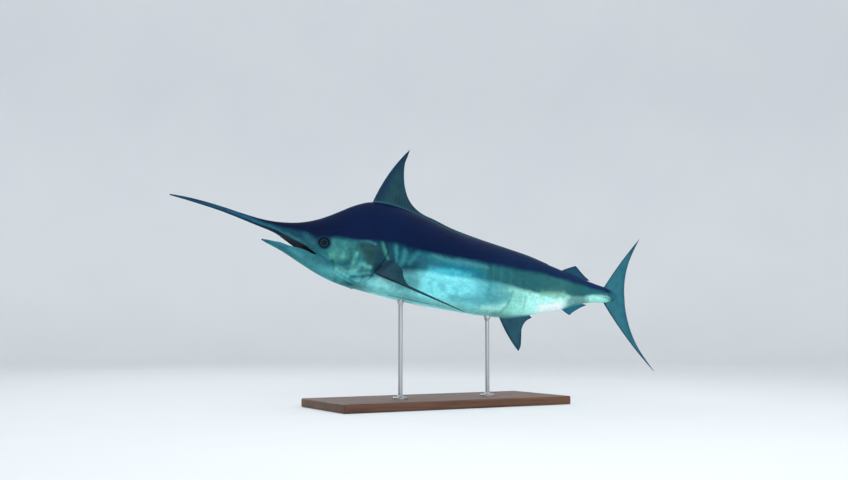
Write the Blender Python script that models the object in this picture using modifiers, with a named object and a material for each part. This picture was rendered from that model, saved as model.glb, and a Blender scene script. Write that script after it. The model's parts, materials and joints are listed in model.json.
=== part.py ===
"""A blue marlin at life size, swimming with its head up, held by a display stand of one base and two rods.

The fish is built straight, in a frame of its own: x runs aft from the tip of the lower jaw, z is up and -y is
its left side. Its outlines are fractions of LENGTH. Then it is bent as it swims and set on the stand.
"""

import math

import bmesh
import bpy
import numpy as np
from mathutils import Matrix, Vector

# Driving dimensions, in metres and degrees
LENGTH = 2.50  # tip of the lower jaw to the fork of the tail
GAP = 0.0003  # between pieces that touch
NOSE_UP_DEG = 7.7
BANK_DEG = -7.0
JAW_TIP = (-1.13, 0.0, 0.98)  # where the stand holds the tip of the lower jaw
BASE_SIZE = (1.50, 0.60, 0.050)
ROD_RADIUS = 0.0125
ROD_STATIONS = (0.36, 0.60)

# How the fish is bent: the tail swings to its left from BEND_START and turns about its own axis
BEND_START = 0.45
BEND = -0.083
TWIST_START = 0.80
TWIST_DEG = 6.0

# Where the body is parted
BILL_TIP, BILL_END, HEAD_END, TRUNK_MIDDLE, TRUNK_END, STALK_END = -0.205, 0.015, 0.250, 0.520, 0.795, 0.985
JAW_START, JAW_END = 0.006, 0.184
SEAM_GAP = 2 * GAP  # measured upright, because the seam of the jaw slopes

# Outlines as (x, z) and widths as (x, half width), all fractions of LENGTH
BACK = (
    (-0.205, 0.0447), (-0.170, 0.0455), (-0.140, 0.0443), (-0.090, 0.0398), (-0.045, 0.0340), (0.000, 0.0296),
    (0.030, 0.0295), (0.060, 0.0325), (0.100, 0.0410), (0.140, 0.0565), (0.180, 0.0785), (0.220, 0.1025),
    (0.260, 0.1200), (0.300, 0.1255), (0.340, 0.1235), (0.400, 0.1130), (0.450, 0.1005), (0.500, 0.0905),
    (0.600, 0.0795), (0.700, 0.0680), (0.780, 0.0530), (0.860, 0.0370), (0.920, 0.0265), (0.955, 0.0210),
    (0.985, 0.0130),
)  # fmt: skip
BELLY = (
    (0.006, -0.0165), (0.020, -0.0215), (0.040, -0.0275), (0.060, -0.0345), (0.100, -0.0520), (0.140, -0.0685),
    (0.180, -0.0810), (0.220, -0.0880), (0.260, -0.0920), (0.320, -0.0965), (0.400, -0.1005), (0.500, -0.1025),
    (0.600, -0.1020), (0.660, -0.0975), (0.700, -0.0885), (0.780, -0.0670), (0.815, -0.0560), (0.860, -0.0370),
    (0.920, -0.0230), (0.955, -0.0190), (0.985, -0.0125),
)  # fmt: skip
MOUTH_ROOF = (
    (-0.205, 0.0423), (-0.170, 0.0393), (-0.140, 0.0361), (-0.090, 0.0298), (-0.045, 0.0216), (0.000, 0.0125),
    (0.020, 0.0090), (0.043, 0.0035), (0.065, -0.0040), (0.087, -0.0125), (0.103, -0.0190), (0.117, -0.0280),
    (0.128, -0.0340), (0.145, -0.0410), (0.163, -0.0520), (0.178, -0.0690), (0.190, -0.0900),
)  # fmt: skip
MOUTH_FLOOR = (
    (0.006, -0.0145), (0.027, -0.0150), (0.044, -0.0165), (0.066, -0.0215), (0.089, -0.0240), (0.103, -0.0265),
    (0.117, -0.0310), (0.128, -0.0340),
)  # fmt: skip
HALF_WIDTH = (
    (-0.205, 0.0012), (-0.170, 0.0031), (-0.140, 0.0041), (-0.090, 0.0051), (-0.045, 0.0063), (0.000, 0.0088),
    (0.030, 0.0115), (0.060, 0.0160), (0.100, 0.0250), (0.140, 0.0345), (0.180, 0.0415), (0.220, 0.0465),
    (0.260, 0.0505), (0.320, 0.0545), (0.400, 0.0565), (0.500, 0.0555), (0.600, 0.0500), (0.700, 0.0390),
    (0.780, 0.0280), (0.860, 0.0180), (0.920, 0.0130), (0.955, 0.0092), (0.985, 0.0022),
)  # fmt: skip
JAW_HALF_WIDTH = (
    (0.006, 0.0018), (0.020, 0.0066), (0.040, 0.0110), (0.060, 0.0155), (0.100, 0.0247), (0.140, 0.0345),
    (0.180, 0.0415), (0.220, 0.0465),
)  # fmt: skip
WIDEST_LEVEL = (
    (-0.205, 0.0435), (-0.140, 0.0402), (-0.090, 0.0348), (-0.045, 0.0278), (0.000, 0.0210), (0.030, 0.0165),
    (0.060, 0.0075), (0.100, -0.0060), (0.140, -0.0110), (0.200, -0.0090), (0.300, 0.0000), (0.400, 0.0020),
    (0.500, 0.0000), (0.700, -0.0080), (0.800, -0.0050), (0.900, 0.0000), (0.985, 0.0000),
)  # fmt: skip
JAW_WIDEST_LEVEL = ((0.006, -0.0155), (0.040, -0.0185), (0.060, -0.0200), (0.100, -0.0150), (0.140, -0.0110))
# Above and below the widest level, a section is an ellipse at 1 and narrows to a ridge as this grows
BACK_RIDGE = ((-0.050, 1.0), (0.050, 1.1), (0.120, 1.25), (0.200, 1.35), (0.300, 1.30), (0.500, 1.15), (0.800, 1.0))
BELLY_RIDGE = ((0.000, 1.0), (0.120, 1.15), (0.250, 1.05), (0.500, 0.95), (0.800, 1.0))

# Head
EYE = (0.141, -0.006)
EYE_RADIUS, EYE_DEPTH, EYE_BULGE = 0.031, 0.020, 0.0035
ORBIT_RIM = 0.0035
NOSTRILS = ((0.100, 0.0100), (0.108, 0.0085))
NOSTRIL_SIZE = (0.0045, 0.006, 0.0030)
GILL_COVER = (
    (0.197, 0.034), (0.206, 0.010), (0.213, -0.014), (0.216, -0.034), (0.211, -0.052), (0.203, -0.066),
    (0.205, -0.077), (0.220, -0.082), (0.240, -0.082), (0.253, -0.074), (0.264, -0.057), (0.275, -0.038),
    (0.286, -0.020), (0.291, 0.000), (0.284, 0.020), (0.262, 0.038), (0.235, 0.044), (0.212, 0.042),
)  # fmt: skip
GILL_COVER_POINTS = 30
GILL_COVER_PROUD, GILL_COVER_SUNK = 0.0025, 0.0060

MAXILLA = ((0.085, -0.0060), (0.158, -0.0420))  # the bar of bone over the corner of the mouth, end to end
MAXILLA_SIZE = (0.0060, 0.0115)  # half thickness and half height

# The cut that parts the first dorsal fin's raised lobe from its low part, from the root up
PARTING = ((0.394, 0.095), (0.400, 0.1215))

# Paired fins. The left pectoral fin is held out and the right one lies back along the flank. A root runs from
# the leading edge to the trailing one. Lengths along a fin are fractions of LENGTH.
PECTORAL_HELD_OUT = {
    "root": ((0.276, -0.056), (0.302, -0.026)), "sunk": (0.0, 0.022),
    "span": (0.743, -0.546, -0.388), "chord": (0.669, 0.710, 0.221),
}  # fmt: skip
PECTORAL_FOLDED = {
    "root": ((0.297, -0.022), (0.276, -0.053)), "sunk": (0.006, 0.004),
    "span": (0.970, -0.230, -0.075), "chord": (-0.150, 0.270, -0.950),
}  # fmt: skip
PECTORAL_TWIST_END, PECTORAL_BASE_END = 0.070, 0.052
PELVIC_ROOT = (0.305, -0.0925)
PELVIC_SPAN, PELVIC_CHORD = (0.996, -0.050, -0.055), (0.0, 0.9, -0.34)
RAY_RIDGE = 0.0011

SIDES, BILL_SIDES = 32, 16
SMALLEST_FLAT = 0.15  # radians: a flat narrower than this is left round


def smooth_step(low, high, x):
    t = min(1.0, max(0.0, (x - low) / (high - low)))
    return t * t * (3 - 2 * t)


def curve_through(points):
    """A smooth function of x through (x, value) points."""
    xs, values = np.array(list(points), float).T
    slopes = np.gradient(values, xs)

    def at(x):
        x = min(max(x, xs[0]), xs[-1])
        i = min(max(int(np.searchsorted(xs, x)) - 1, 0), len(xs) - 2)
        span = xs[i + 1] - xs[i]
        t = (x - xs[i]) / span
        rise = t * t * (3 - 2 * t)
        swing = t * (1 - t) * span
        return float(
            values[i] * (1 - rise)
            + values[i + 1] * rise
            + swing * ((1 - t) * slopes[i] - t * slopes[i + 1])
        )

    return at


back, belly = curve_through(BACK), curve_through(BELLY)
mouth_roof, mouth_floor = curve_through(MOUTH_ROOF), curve_through(MOUTH_FLOOR)
half_width, jaw_half_width = curve_through(HALF_WIDTH), curve_through(JAW_HALF_WIDTH)
widest_level, jaw_widest_level = curve_through(WIDEST_LEVEL), curve_through(JAW_WIDEST_LEVEL)
back_ridge, belly_ridge = curve_through(BACK_RIDGE), curve_through(BELLY_RIDGE)


def ring(x, sides, top, bottom, width, level, low=None, high=None, grow=0.0):
    """Points round one section, in metres, cut off flat under low or over high."""

    def on_arc(turn):
        across, up = math.cos(turn), math.sin(turn)
        reach, ridge = (top - level, back_ridge(x)) if up > 0 else (level - bottom, belly_ridge(x))
        y = math.copysign(abs(across) ** ridge, across) * (width * LENGTH + grow)
        return y, level * LENGTH + up * (reach * LENGTH + grow)

    flat_steps = sides // 4
    spread, pole, cut = math.pi * flat_steps / sides, -math.pi / 2, False
    level_cut = low if high is None else high
    if level_cut is not None:
        rise = level_cut - level
        up = max(-1.0, min(1.0, rise / ((top - level) if rise > 0 else (level - bottom))))
        pole = -math.pi / 2 if high is None else math.pi / 2
        angle = math.asin(up) + math.pi / 2 if high is None else math.pi / 2 - math.asin(up)
        if angle > SMALLEST_FLAT:
            spread, cut = angle, True
    first, last = on_arc(pole - spread), on_arc(pole + spread)
    points = []
    for k in range(flat_steps + 1):
        share = k / flat_steps
        if cut:
            points.append((first[0] * (1 - share) + last[0] * share, level_cut * LENGTH))
        else:
            points.append(on_arc(pole - spread + 2 * spread * share))
    for k in range(1, sides - flat_steps):
        points.append(on_arc(pole + spread + (2 * math.pi - 2 * spread) * k / (sides - flat_steps)))
    return [(x * LENGTH, y, z) for y, z in points]


def stations(start, end, count):
    return [start + (end - start) * k / (count - 1) for k in range(count)]


BILL_STATIONS = stations(BILL_TIP, BILL_END - GAP / LENGTH, 12)
BEHIND_JAW = JAW_END + 2 * GAP / LENGTH
HEAD_STATIONS = sorted(stations(BILL_END, HEAD_END - GAP / LENGTH, 17) + [JAW_END, BEHIND_JAW])
JAW_STATIONS = [JAW_START] + [x for x in HEAD_STATIONS if x <= JAW_END]
FRONT_STATIONS = stations(HEAD_END, TRUNK_MIDDLE - GAP / LENGTH, 14)
REAR_STATIONS = stations(TRUNK_MIDDLE, TRUNK_END - GAP / LENGTH, 12)
STALK_STATIONS = stations(TRUNK_END, STALK_END, 11)


def head_share(x):
    """From 0 where the bill and the lower jaw are each round, to 1 where they share the head's section."""
    return smooth_step(0.03, 0.13, x)


def upper_ring(x, sides=SIDES, grow=0.0):
    share = head_share(x)
    bottom = mouth_roof(x) * (1 - share) + belly(x) * share
    low = mouth_roof(x) if x < BEHIND_JAW else None
    return ring(x, sides, back(x), bottom, half_width(x), widest_level(x), low=low, grow=grow)


def jaw_ring(x, sides=SIDES):
    share = head_share(x)
    top = mouth_floor(x) * (1 - share) + back(x) * share
    level = jaw_widest_level(x) if x < JAW_WIDEST_LEVEL[-1][0] else widest_level(x)
    floor = mouth_floor(x) if x < MOUTH_FLOOR[-1][0] else mouth_roof(x)
    high = min(floor, mouth_roof(x) - SEAM_GAP / LENGTH)
    return ring(x, sides, top, belly(x), jaw_half_width(x), level, high=high)


def flank(x, z, out=0.0):
    """The point on the left flank at x and z, fractions of LENGTH, moved out by a length in metres."""
    level = widest_level(x)
    reach, ridge = (back(x) - level, back_ridge(x)) if z > level else (belly(x) - level, belly_ridge(x))
    up = min(1.0, (z - level) / reach)
    y = half_width(x) * math.sqrt(1 - up * up) ** ridge
    return Vector((x * LENGTH, -y * LENGTH - out, z * LENGTH))


def new_object(name, mesh):
    obj = bpy.data.objects.new(name, mesh)
    bpy.context.scene.collection.objects.link(obj)
    return obj


def loft(name, rings):
    """A closed skin over rings of equal length, each end closed by one flat face."""
    bm = bmesh.new()
    rows = [[bm.verts.new(point) for point in points] for points in rings]
    for row, after in zip(rows, rows[1:]):
        for k in range(len(row)):
            following = (k + 1) % len(row)
            bm.faces.new((row[k], row[following], after[following], after[k]))
    bm.faces.new(list(reversed(rows[0])))
    bm.faces.new(rows[-1])
    bmesh.ops.recalc_face_normals(bm, faces=bm.faces)
    mesh = bpy.data.meshes.new(name)
    bm.to_mesh(mesh)
    bm.free()
    return new_object(name, mesh)


def bake(obj):
    """Makes the object's modifiers part of its mesh, and drops any scrap beside its largest surface."""
    bpy.context.view_layer.update()
    graph = bpy.context.evaluated_depsgraph_get()
    mesh = bpy.data.meshes.new_from_object(obj.evaluated_get(graph))
    obj.modifiers.clear()
    obj.data = mesh
    bm = bmesh.new()
    bm.from_mesh(mesh)
    bmesh.ops.remove_doubles(bm, verts=bm.verts, dist=1e-6)
    left, surfaces = set(bm.verts), []
    while left:
        found, edge = set(), [left.pop()]
        while edge:
            vert = edge.pop()
            found.add(vert)
            near = {e.other_vert(vert) for e in vert.link_edges} & left
            left -= near
            edge.extend(near)
        surfaces.append(found)
    surfaces.sort(key=len)
    for scrap in surfaces[:-1]:
        bmesh.ops.delete(bm, geom=list(scrap), context="VERTS")
    bm.to_mesh(mesh)
    bm.free()
    return obj


def combine(obj, other, operation, keep_other=False):
    modifier = obj.modifiers.new(operation.lower(), "BOOLEAN")
    modifier.operation = operation
    modifier.solver = "EXACT"
    modifier.object = other
    bake(obj)
    if not keep_other:
        bpy.data.objects.remove(other)
    return obj


def ellipsoid(name, centre, size, segments=16, rings=10):
    bm = bmesh.new()
    bmesh.ops.create_uvsphere(bm, u_segments=segments, v_segments=rings, radius=1.0)
    bmesh.ops.transform(bm, matrix=Matrix.LocRotScale(Vector(centre), None, Vector(size)), verts=bm.verts)
    mesh = bpy.data.meshes.new(name)
    bm.to_mesh(mesh)
    bm.free()
    return new_object(name, mesh)


def mirrored(obj, name):
    """A copy of a piece of the left side, for the right side."""
    mesh = obj.data.copy()
    mesh.transform(Matrix.Scale(-1, 4, (0, 1, 0)))
    mesh.flip_normals()
    return new_object(name, mesh)


def body_cutter(grow, name="body_cutter"):
    """The body behind the mouth, grown by a length, to cut roots and rods off at the skin."""
    behind_mouth = [x for x in HEAD_STATIONS if x >= BEHIND_JAW]
    along = behind_mouth + FRONT_STATIONS + REAR_STATIONS + STALK_STATIONS + [STALK_END + grow / LENGTH]
    return loft(name, [upper_ring(x, grow=grow) for x in along])


def upright_slab(name, outline, low_y, high_y):
    """An outline in x and z, as fractions of LENGTH, as a solid from low_y to high_y."""
    curve = bpy.data.curves.new(name, "CURVE")
    curve.dimensions = "2D"
    curve.fill_mode = "BOTH"
    curve.extrude = (high_y - low_y) / 2
    spline = curve.splines.new("POLY")
    spline.points.add(len(outline) - 1)
    for point, (x, z) in zip(spline.points, outline):
        point.co = (x * LENGTH, z * LENGTH, 0.0, 1.0)
    spline.use_cyclic_u = True
    helper = new_object(name, curve)
    bpy.context.view_layer.update()
    mesh = bpy.data.meshes.new_from_object(helper.evaluated_get(bpy.context.evaluated_depsgraph_get()))
    bpy.data.objects.remove(helper)
    mesh.transform(Matrix.Translation((0, (low_y + high_y) / 2, 0)) @ Matrix.Rotation(math.pi / 2, 4, "X"))
    bm = bmesh.new()
    bm.from_mesh(mesh)
    bmesh.ops.remove_doubles(bm, verts=bm.verts, dist=1e-5)
    bmesh.ops.recalc_face_normals(bm, faces=bm.faces)
    bm.to_mesh(mesh)
    bm.free()
    return new_object(name, mesh)


def grown_outline(outline, grow):
    """The outline moved outwards by a length in metres."""
    points = np.array(outline) * LENGTH
    before, after = np.roll(points, 1, axis=0), np.roll(points, -1, axis=0)
    along = after - before
    normals = np.stack([along[:, 1], -along[:, 0]], axis=1)
    normals /= np.linalg.norm(normals, axis=1)[:, None]
    turning = np.sum(points[:, 0] * after[:, 1] - points[:, 1] * after[:, 0])
    return (points + math.copysign(grow, turning) * normals) / LENGTH


def gill_loft(grow, name):
    return loft(name, [upper_ring(x, grow=grow) for x in stations(0.185, 0.305, 11)])


def gill_outline():
    return polyline_through(GILL_COVER + GILL_COVER[:1], GILL_COVER_POINTS)[:-1]


def gill_cover():
    """The left gill cover: a plate that stands a little proud of the skin, and wraps under the throat."""
    cover = upright_slab("gill_cover_left", gill_outline(), -0.25, 0.0)
    combine(cover, gill_loft(GILL_COVER_PROUD, "outer"), "INTERSECT")
    return combine(cover, gill_loft(-GILL_COVER_SUNK, "inner"), "DIFFERENCE")


def gill_recesses():
    """What the left and the right gill cover take out of the head and the shoulder."""
    left = upright_slab("recess", grown_outline(gill_outline(), GAP), -0.25, 0.0)
    combine(left, gill_loft(-GILL_COVER_SUNK - GAP, "inner"), "DIFFERENCE")
    return [left, mirrored(left, "other_recess")]


def eye(name="eye_left", grow=0.0):
    centre = flank(*EYE, out=EYE_BULGE - EYE_DEPTH)
    return ellipsoid(name, centre, [r + grow for r in (EYE_RADIUS, EYE_DEPTH, EYE_RADIUS)])


def orbit_rim():
    """The raised ring of skin round the left eye."""
    centre = flank(*EYE, out=-0.6 * ORBIT_RIM)
    bpy.ops.mesh.primitive_torus_add(
        major_radius=EYE_RADIUS + 0.2 * ORBIT_RIM, minor_radius=ORBIT_RIM, major_segments=24, minor_segments=6
    )
    rim = bpy.context.object
    fore, aft = flank(EYE[0] - 0.01, EYE[1]), flank(EYE[0] + 0.01, EYE[1])
    under, over = flank(EYE[0], EYE[1] - 0.01), flank(EYE[0], EYE[1] + 0.01)
    outward = (aft - fore).cross(over - under).normalized()
    rim.data.transform(Matrix.Translation(centre) @ outward.to_track_quat("Z", "X").to_matrix().to_4x4())
    return rim


def maxilla():
    """The left maxilla, which lies over the corner of the mouth."""
    front, rear = flank(*MAXILLA[0]), flank(*MAXILLA[1])
    run = rear - front
    bar = ellipsoid("maxilla", (0, 0, 0), (run.length / 2, *MAXILLA_SIZE), 12, 8)
    turn = run.to_track_quat("X", "Z").to_matrix().to_4x4()
    bar.data.transform(Matrix.Translation((front + rear) / 2) @ turn)
    return bar


def head_pieces(recesses):
    """The bill, the head with its sockets and nostrils, the lower jaw and the eyes."""
    bill = loft("bill", [upper_ring(x, BILL_SIDES) for x in BILL_STATIONS])
    head = loft("head", [upper_ring(x) for x in HEAD_STATIONS])
    jaw = loft("lower_jaw", [jaw_ring(x) for x in JAW_STATIONS])
    for recess in recesses:
        combine(head, recess, "DIFFERENCE", keep_other=True)
    left_rim = orbit_rim()
    right_rim = mirrored(left_rim, "rim")
    combine(head, left_rim, "UNION")
    combine(head, right_rim, "UNION")
    left_bar = maxilla()
    right_bar = mirrored(left_bar, "bar")
    combine(head, left_bar, "UNION")
    combine(head, right_bar, "UNION")
    for sign in (1, -1):
        for spot in NOSTRILS:
            centre = flank(*spot)
            pit = ellipsoid("pit", (centre.x, centre.y * sign, centre.z), NOSTRIL_SIZE, 8, 6)
            combine(head, pit, "DIFFERENCE")
    socket = eye("socket", GAP)
    other_socket = mirrored(socket, "other_socket")
    combine(head, socket, "DIFFERENCE")
    combine(head, other_socket, "DIFFERENCE")
    left_eye = eye()
    return [bill, head, jaw, left_eye, mirrored(left_eye, "eye_right")]


def keel(above):
    """One of the four low keels on the left and right of the tail stalk."""
    level = 0.0085 if above else -0.0085
    tilt = math.radians(7.0 if above else -7.0)
    crest = ellipsoid("keel", (0, 0, 0), (0.060, 0.0085, 0.0045), 12, 8)
    crest.data.transform(
        Matrix.Translation(flank(0.948, level)) @ Matrix.Rotation(tilt, 4, "Y") @ Matrix.Rotation(0.09, 4, "Z")
    )
    return crest


def trunk_pieces(recesses):
    """The trunk in two lengths, and the tail stalk with its keels."""
    front = loft("trunk_front", [upper_ring(x) for x in FRONT_STATIONS])
    rear = loft("trunk_rear", [upper_ring(x) for x in REAR_STATIONS])
    stalk = loft("tail_stalk", [upper_ring(x) for x in STALK_STATIONS])
    for recess in recesses:
        combine(front, recess, "DIFFERENCE", keep_other=True)
    for above in (True, False):
        crest = keel(above)
        other = mirrored(crest, "other_keel")
        combine(stalk, crest, "UNION")
        combine(stalk, other, "UNION")
    return [front, rear, stalk]


def polyline_through(points, count):
    """Evenly spaced points along a smooth curve through 2D points."""
    points = np.array(points, float)
    steps = np.linalg.norm(np.diff(points, axis=0), axis=1)
    along = np.concatenate([[0.0], np.cumsum(steps)])
    first, second = curve_through(zip(along, points[:, 0])), curve_through(zip(along, points[:, 1]))
    return [(first(t), second(t)) for t in np.linspace(0, along[-1], count)]


def fin(name, front, rear, margin, bow, rays, rows, place, thick, lead, ridge=0.0):
    """A fin as a blade whose grid lines are its rays.

    front and rear are the ends of its root, sunk in the body, and margin is its free edge from the tip to the
    rear of the root, in fractions of LENGTH. bow bends the rays forward. place turns (p, q, offset) into a
    point in metres. thick, lead and ridge are half thicknesses: of the membrane, added at the leading edge,
    and added on each ray.
    """
    columns = 2 * rays + 1
    ends = polyline_through(margin, columns)
    grid = []
    for i, end in enumerate(ends):
        v = i / (columns - 1)
        root = np.array(front) * (1 - v) + np.array(rear) * v
        end = np.array(end)
        reach = end - root
        control = root + reach / 2 + bow * (1 - v) ** 2 * np.array([-abs(reach[1]), math.copysign(reach[0], reach[1])])
        column = []
        for j in range(rows + 1):
            u = j / rows
            p, q = root * (1 - u) ** 2 + control * 2 * u * (1 - u) + end * u * u
            half = thick * (1 - 0.55 * u) + lead * math.exp(-v / 0.07) * (1 - 0.75 * u)
            half += ridge * (i % 2) * smooth_step(0.05, 0.35, u) * (1 - 0.5 * u)
            column.append((place(p, q, half), place(p, q, -half)))
        grid.append(column)
    bm = bmesh.new()
    sides = [[[bm.verts.new(pair[s]) for pair in column] for column in grid] for s in (0, 1)]
    for s in (0, 1):
        for i in range(columns - 1):
            for j in range(rows):
                a, b = sides[s][i][j], sides[s][i + 1][j]
                c, d = sides[s][i + 1][j + 1], sides[s][i][j + 1]
                bm.faces.new((a, b, c))
                bm.faces.new((a, c, d))
    rim = [(i, 0) for i in range(columns)] + [(columns - 1, j) for j in range(1, rows + 1)]
    rim += [(i, rows) for i in range(columns - 2, -1, -1)] + [(0, j) for j in range(rows - 1, 0, -1)]
    for (i, j), (m, n) in zip(rim, rim[1:] + rim[:1]):
        bm.faces.new((sides[0][i][j], sides[0][m][n], sides[1][m][n], sides[1][i][j]))
    bmesh.ops.recalc_face_normals(bm, faces=bm.faces)
    mesh = bpy.data.meshes.new(name)
    bm.to_mesh(mesh)
    bm.free()
    return new_object(name, mesh)


def upright(p, q, offset):
    """Places a fin of the midline."""
    return (p * LENGTH, offset, q * LENGTH)


def median_fins():
    """Both dorsal fins, the first in its raised lobe and its low folded part, and both anal fins."""
    behind = [(x + GAP / LENGTH, z) for x, z in PARTING]
    lobe = fin(
        "first_dorsal_fin_lobe", (0.262, 0.100), PARTING[0],
        ((0.360, 0.274), (0.356, 0.259), (0.349, 0.237), (0.348, 0.206), (0.354, 0.172), (0.366, 0.147),
         (0.384, 0.130), PARTING[1]),
        0.10, 11, 7, upright, 0.0016, 0.0035, RAY_RIDGE,
    )  # fmt: skip
    folded = fin(
        "first_dorsal_fin_rear", behind[0], (0.755, 0.052),
        (behind[1], (0.440, 0.1115), (0.480, 0.1010), (0.560, 0.0880), (0.650, 0.0772), (0.720, 0.0678),
         (0.775, 0.0560)),
        0.0, 20, 2, upright, 0.0022, 0.0, RAY_RIDGE,
    )  # fmt: skip
    second = fin(
        "second_dorsal_fin", (0.800, 0.038), (0.868, 0.026),
        ((0.860, 0.0660), (0.867, 0.0605), (0.877, 0.0520), (0.890, 0.0420), (0.904, 0.0335)),
        0.04, 6, 4, upright, 0.0013, 0.0020, RAY_RIDGE,
    )  # fmt: skip
    first_anal = fin(
        "first_anal_fin", (0.628, -0.085), (0.712, -0.075),
        ((0.694, -0.1765), (0.699, -0.166), (0.701, -0.142), (0.702, -0.118), (0.712, -0.100), (0.730, -0.0875)),
        0.10, 10, 6, upright, 0.0015, 0.0030, RAY_RIDGE,
    )  # fmt: skip
    second_anal = fin(
        "second_anal_fin", (0.806, -0.045), (0.858, -0.027),
        ((0.842, -0.0665), (0.850, -0.0590), (0.860, -0.0520), (0.874, -0.0430), (0.893, -0.0335)),
        0.08, 6, 4, upright, 0.0013, 0.0020, RAY_RIDGE,
    )  # fmt: skip
    return [lobe, folded, second, first_anal, second_anal]


def tail_fins():
    """The two lobes of the tail fin, which meet on the midline behind the stalk."""
    edge = GAP / 2 / LENGTH
    inner = ((1.031, 0.098), (1.021, 0.068), (1.015, 0.038), (1.013, 0.018), (1.013, edge))
    outer = {
        "tail_fin_upper": (1, 0.03, ((1.074, 0.179), (1.060, 0.155), (1.045, 0.128))),
        "tail_fin_lower": (-1, 0.07, ((1.094, 0.187), (1.071, 0.160), (1.048, 0.130))),
    }
    lobes = []
    for name, (sign, bow, tip) in outer.items():
        margin = [(x, sign * z) for x, z in tip + inner]
        front, rear = (0.938, sign * 0.006), (0.962, sign * edge)
        lobes.append(fin(name, front, rear, margin, bow, 12, 7, upright, 0.0020, 0.0050, RAY_RIDGE))
    return lobes


def turned_blade(root, span, chord_at_root, chord):
    """Places a paired fin: span runs from its root to its tip, and its chord turns from one direction to another."""
    span = Vector(span).normalized()
    start, end = Vector(chord_at_root).normalized(), Vector(chord).normalized()

    def place(p, q, offset):
        share = smooth_step(0.0, PECTORAL_TWIST_END, q)
        across = (start * (1 - share) + end * share).normalized()
        normal = span.cross(across).normalized()
        return root + (span * q + across * p) * LENGTH + normal * offset

    return place


def beyond(root, span, along, side):
    """A block past (side 1) or before (side -1) a length along a fin from its root."""
    bpy.ops.mesh.primitive_cube_add(size=1.0)
    block = bpy.context.object
    turn = span.to_track_quat("Z", "X").to_matrix().to_4x4()
    block.data.transform(Matrix.Translation(root + span * (along + side / 2)) @ turn)
    return block


def pectoral_fin(side, pose):
    """A pectoral fin of the left flank, in its fleshy base and its blade."""
    depth, sunk = pose["sunk"]
    root, root_rear = (flank(*point, out=-depth) for point in pose["root"])
    span = Vector(pose["span"]).normalized()
    blade = fin(
        "pectoral_fin_" + side, (-0.002, -sunk), (0.042, -sunk),
        ((0.030, 0.213), (0.0345, 0.185), (0.0385, 0.150), (0.0415, 0.110), (0.0435, 0.070), (0.0445, 0.035),
         (0.0435, 0.005)),
        0.100, 11, 8, turned_blade(root, span, root_rear - root, pose["chord"]), 0.0016, 0.0030, RAY_RIDGE,
    )  # fmt: skip
    base = new_object("pectoral_fin_base_" + side, blade.data.copy())
    combine(base, beyond(root, span, PECTORAL_BASE_END * LENGTH - GAP / 2, 1), "DIFFERENCE")
    combine(blade, beyond(root, span, PECTORAL_BASE_END * LENGTH + GAP / 2, -1), "DIFFERENCE")
    return [base, blade]


def pelvic_fin():
    return fin(
        "pelvic_fin_left", (-0.002, -0.014), (0.005, -0.014),
        ((0.002, 0.135), (0.0035, 0.105), (0.0047, 0.060), (0.0050, 0.020), (0.0050, -0.002)),
        0.0, 2, 8, turned_blade(flank(*PELVIC_ROOT), PELVIC_SPAN, PELVIC_CHORD, PELVIC_CHORD),
        0.0013, 0.0006, RAY_RIDGE,
    )  # fmt: skip


def paired_fins():
    """The pectoral and pelvic fins of both sides."""
    fins = pectoral_fin("left", PECTORAL_HELD_OUT) + [pelvic_fin()]
    fins.append(mirrored(fins[-1], "pelvic_fin_right"))
    for piece in pectoral_fin("right", PECTORAL_FOLDED):
        other = mirrored(piece, "mirror")
        name = piece.name
        bpy.data.objects.remove(piece)
        other.name = name
        fins.append(other)
    return fins


def swum(point):
    """Where a point of the straight fish lies once its tail has swung and turned."""
    x, y, z = point
    turn = math.radians(TWIST_DEG) * smooth_step(TWIST_START, 1.0, x / LENGTH)
    y, z = y * math.cos(turn) + z * math.sin(turn), z * math.cos(turn) - y * math.sin(turn)
    run = max(0.0, x - BEND_START * LENGTH)
    heading = math.atan(2 * BEND * run / LENGTH)
    shorter = 2 / 3 * BEND**2 * run**3 / LENGTH**2
    return Vector((
        x - shorter - math.sin(heading) * y,
        BEND * run * run / LENGTH + math.cos(heading) * y,
        z,
    ))


def swim(obj):
    for vertex in obj.data.vertices:
        vertex.co = swum(vertex.co)


def stand_pieces(cutter):
    """The base, and two rods with a foot and a saddle, cut to the belly."""
    length, width, height = BASE_SIZE
    bpy.ops.mesh.primitive_cube_add(size=1.0, location=(0, 0, height / 2))
    base = bpy.context.object
    base.name = "stand_base"
    base.scale = BASE_SIZE
    bpy.ops.object.transform_apply(location=True, rotation=True, scale=True)
    bevel = base.modifiers.new("edges", "BEVEL")
    bevel.width = 0.008
    bevel.segments = 3
    pieces = [bake(base)]
    pose = cutter.parent.matrix_world
    for name, station in zip(("stand_rod_front", "stand_rod_rear"), ROD_STATIONS):
        middle = pose @ swum((station * LENGTH, 0.0, belly(station) * LENGTH))
        top = middle.z - height
        foot_radius, foot_height, saddle_radius = 0.045, 0.010, 0.019
        profile = (
            (0.0, top + 0.060), (saddle_radius, top + 0.060), (saddle_radius, top - 0.012),
            (ROD_RADIUS, top - 0.030), (ROD_RADIUS, foot_height + 0.012), (0.020, foot_height + 0.003),
            (foot_radius - 0.003, foot_height), (foot_radius, foot_height - 0.003), (foot_radius, 0.0), (0.0, 0.0),
        )  # fmt: skip
        mesh = bpy.data.meshes.new(name)
        mesh.from_pydata([(r, 0, z) for r, z in profile], [(k, k + 1) for k in range(len(profile) - 1)], [])
        rod = new_object(name, mesh)
        rod.location = (middle.x, middle.y, height + GAP)
        turn = rod.modifiers.new("turned", "SCREW")
        turn.steps = turn.render_steps = 24
        turn.use_merge_vertices = True
        turn.merge_threshold = 0.0001
        bake(rod)
        combine(rod, cutter, "DIFFERENCE", keep_other=True)
        pieces.append(rod)
    return pieces


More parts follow.
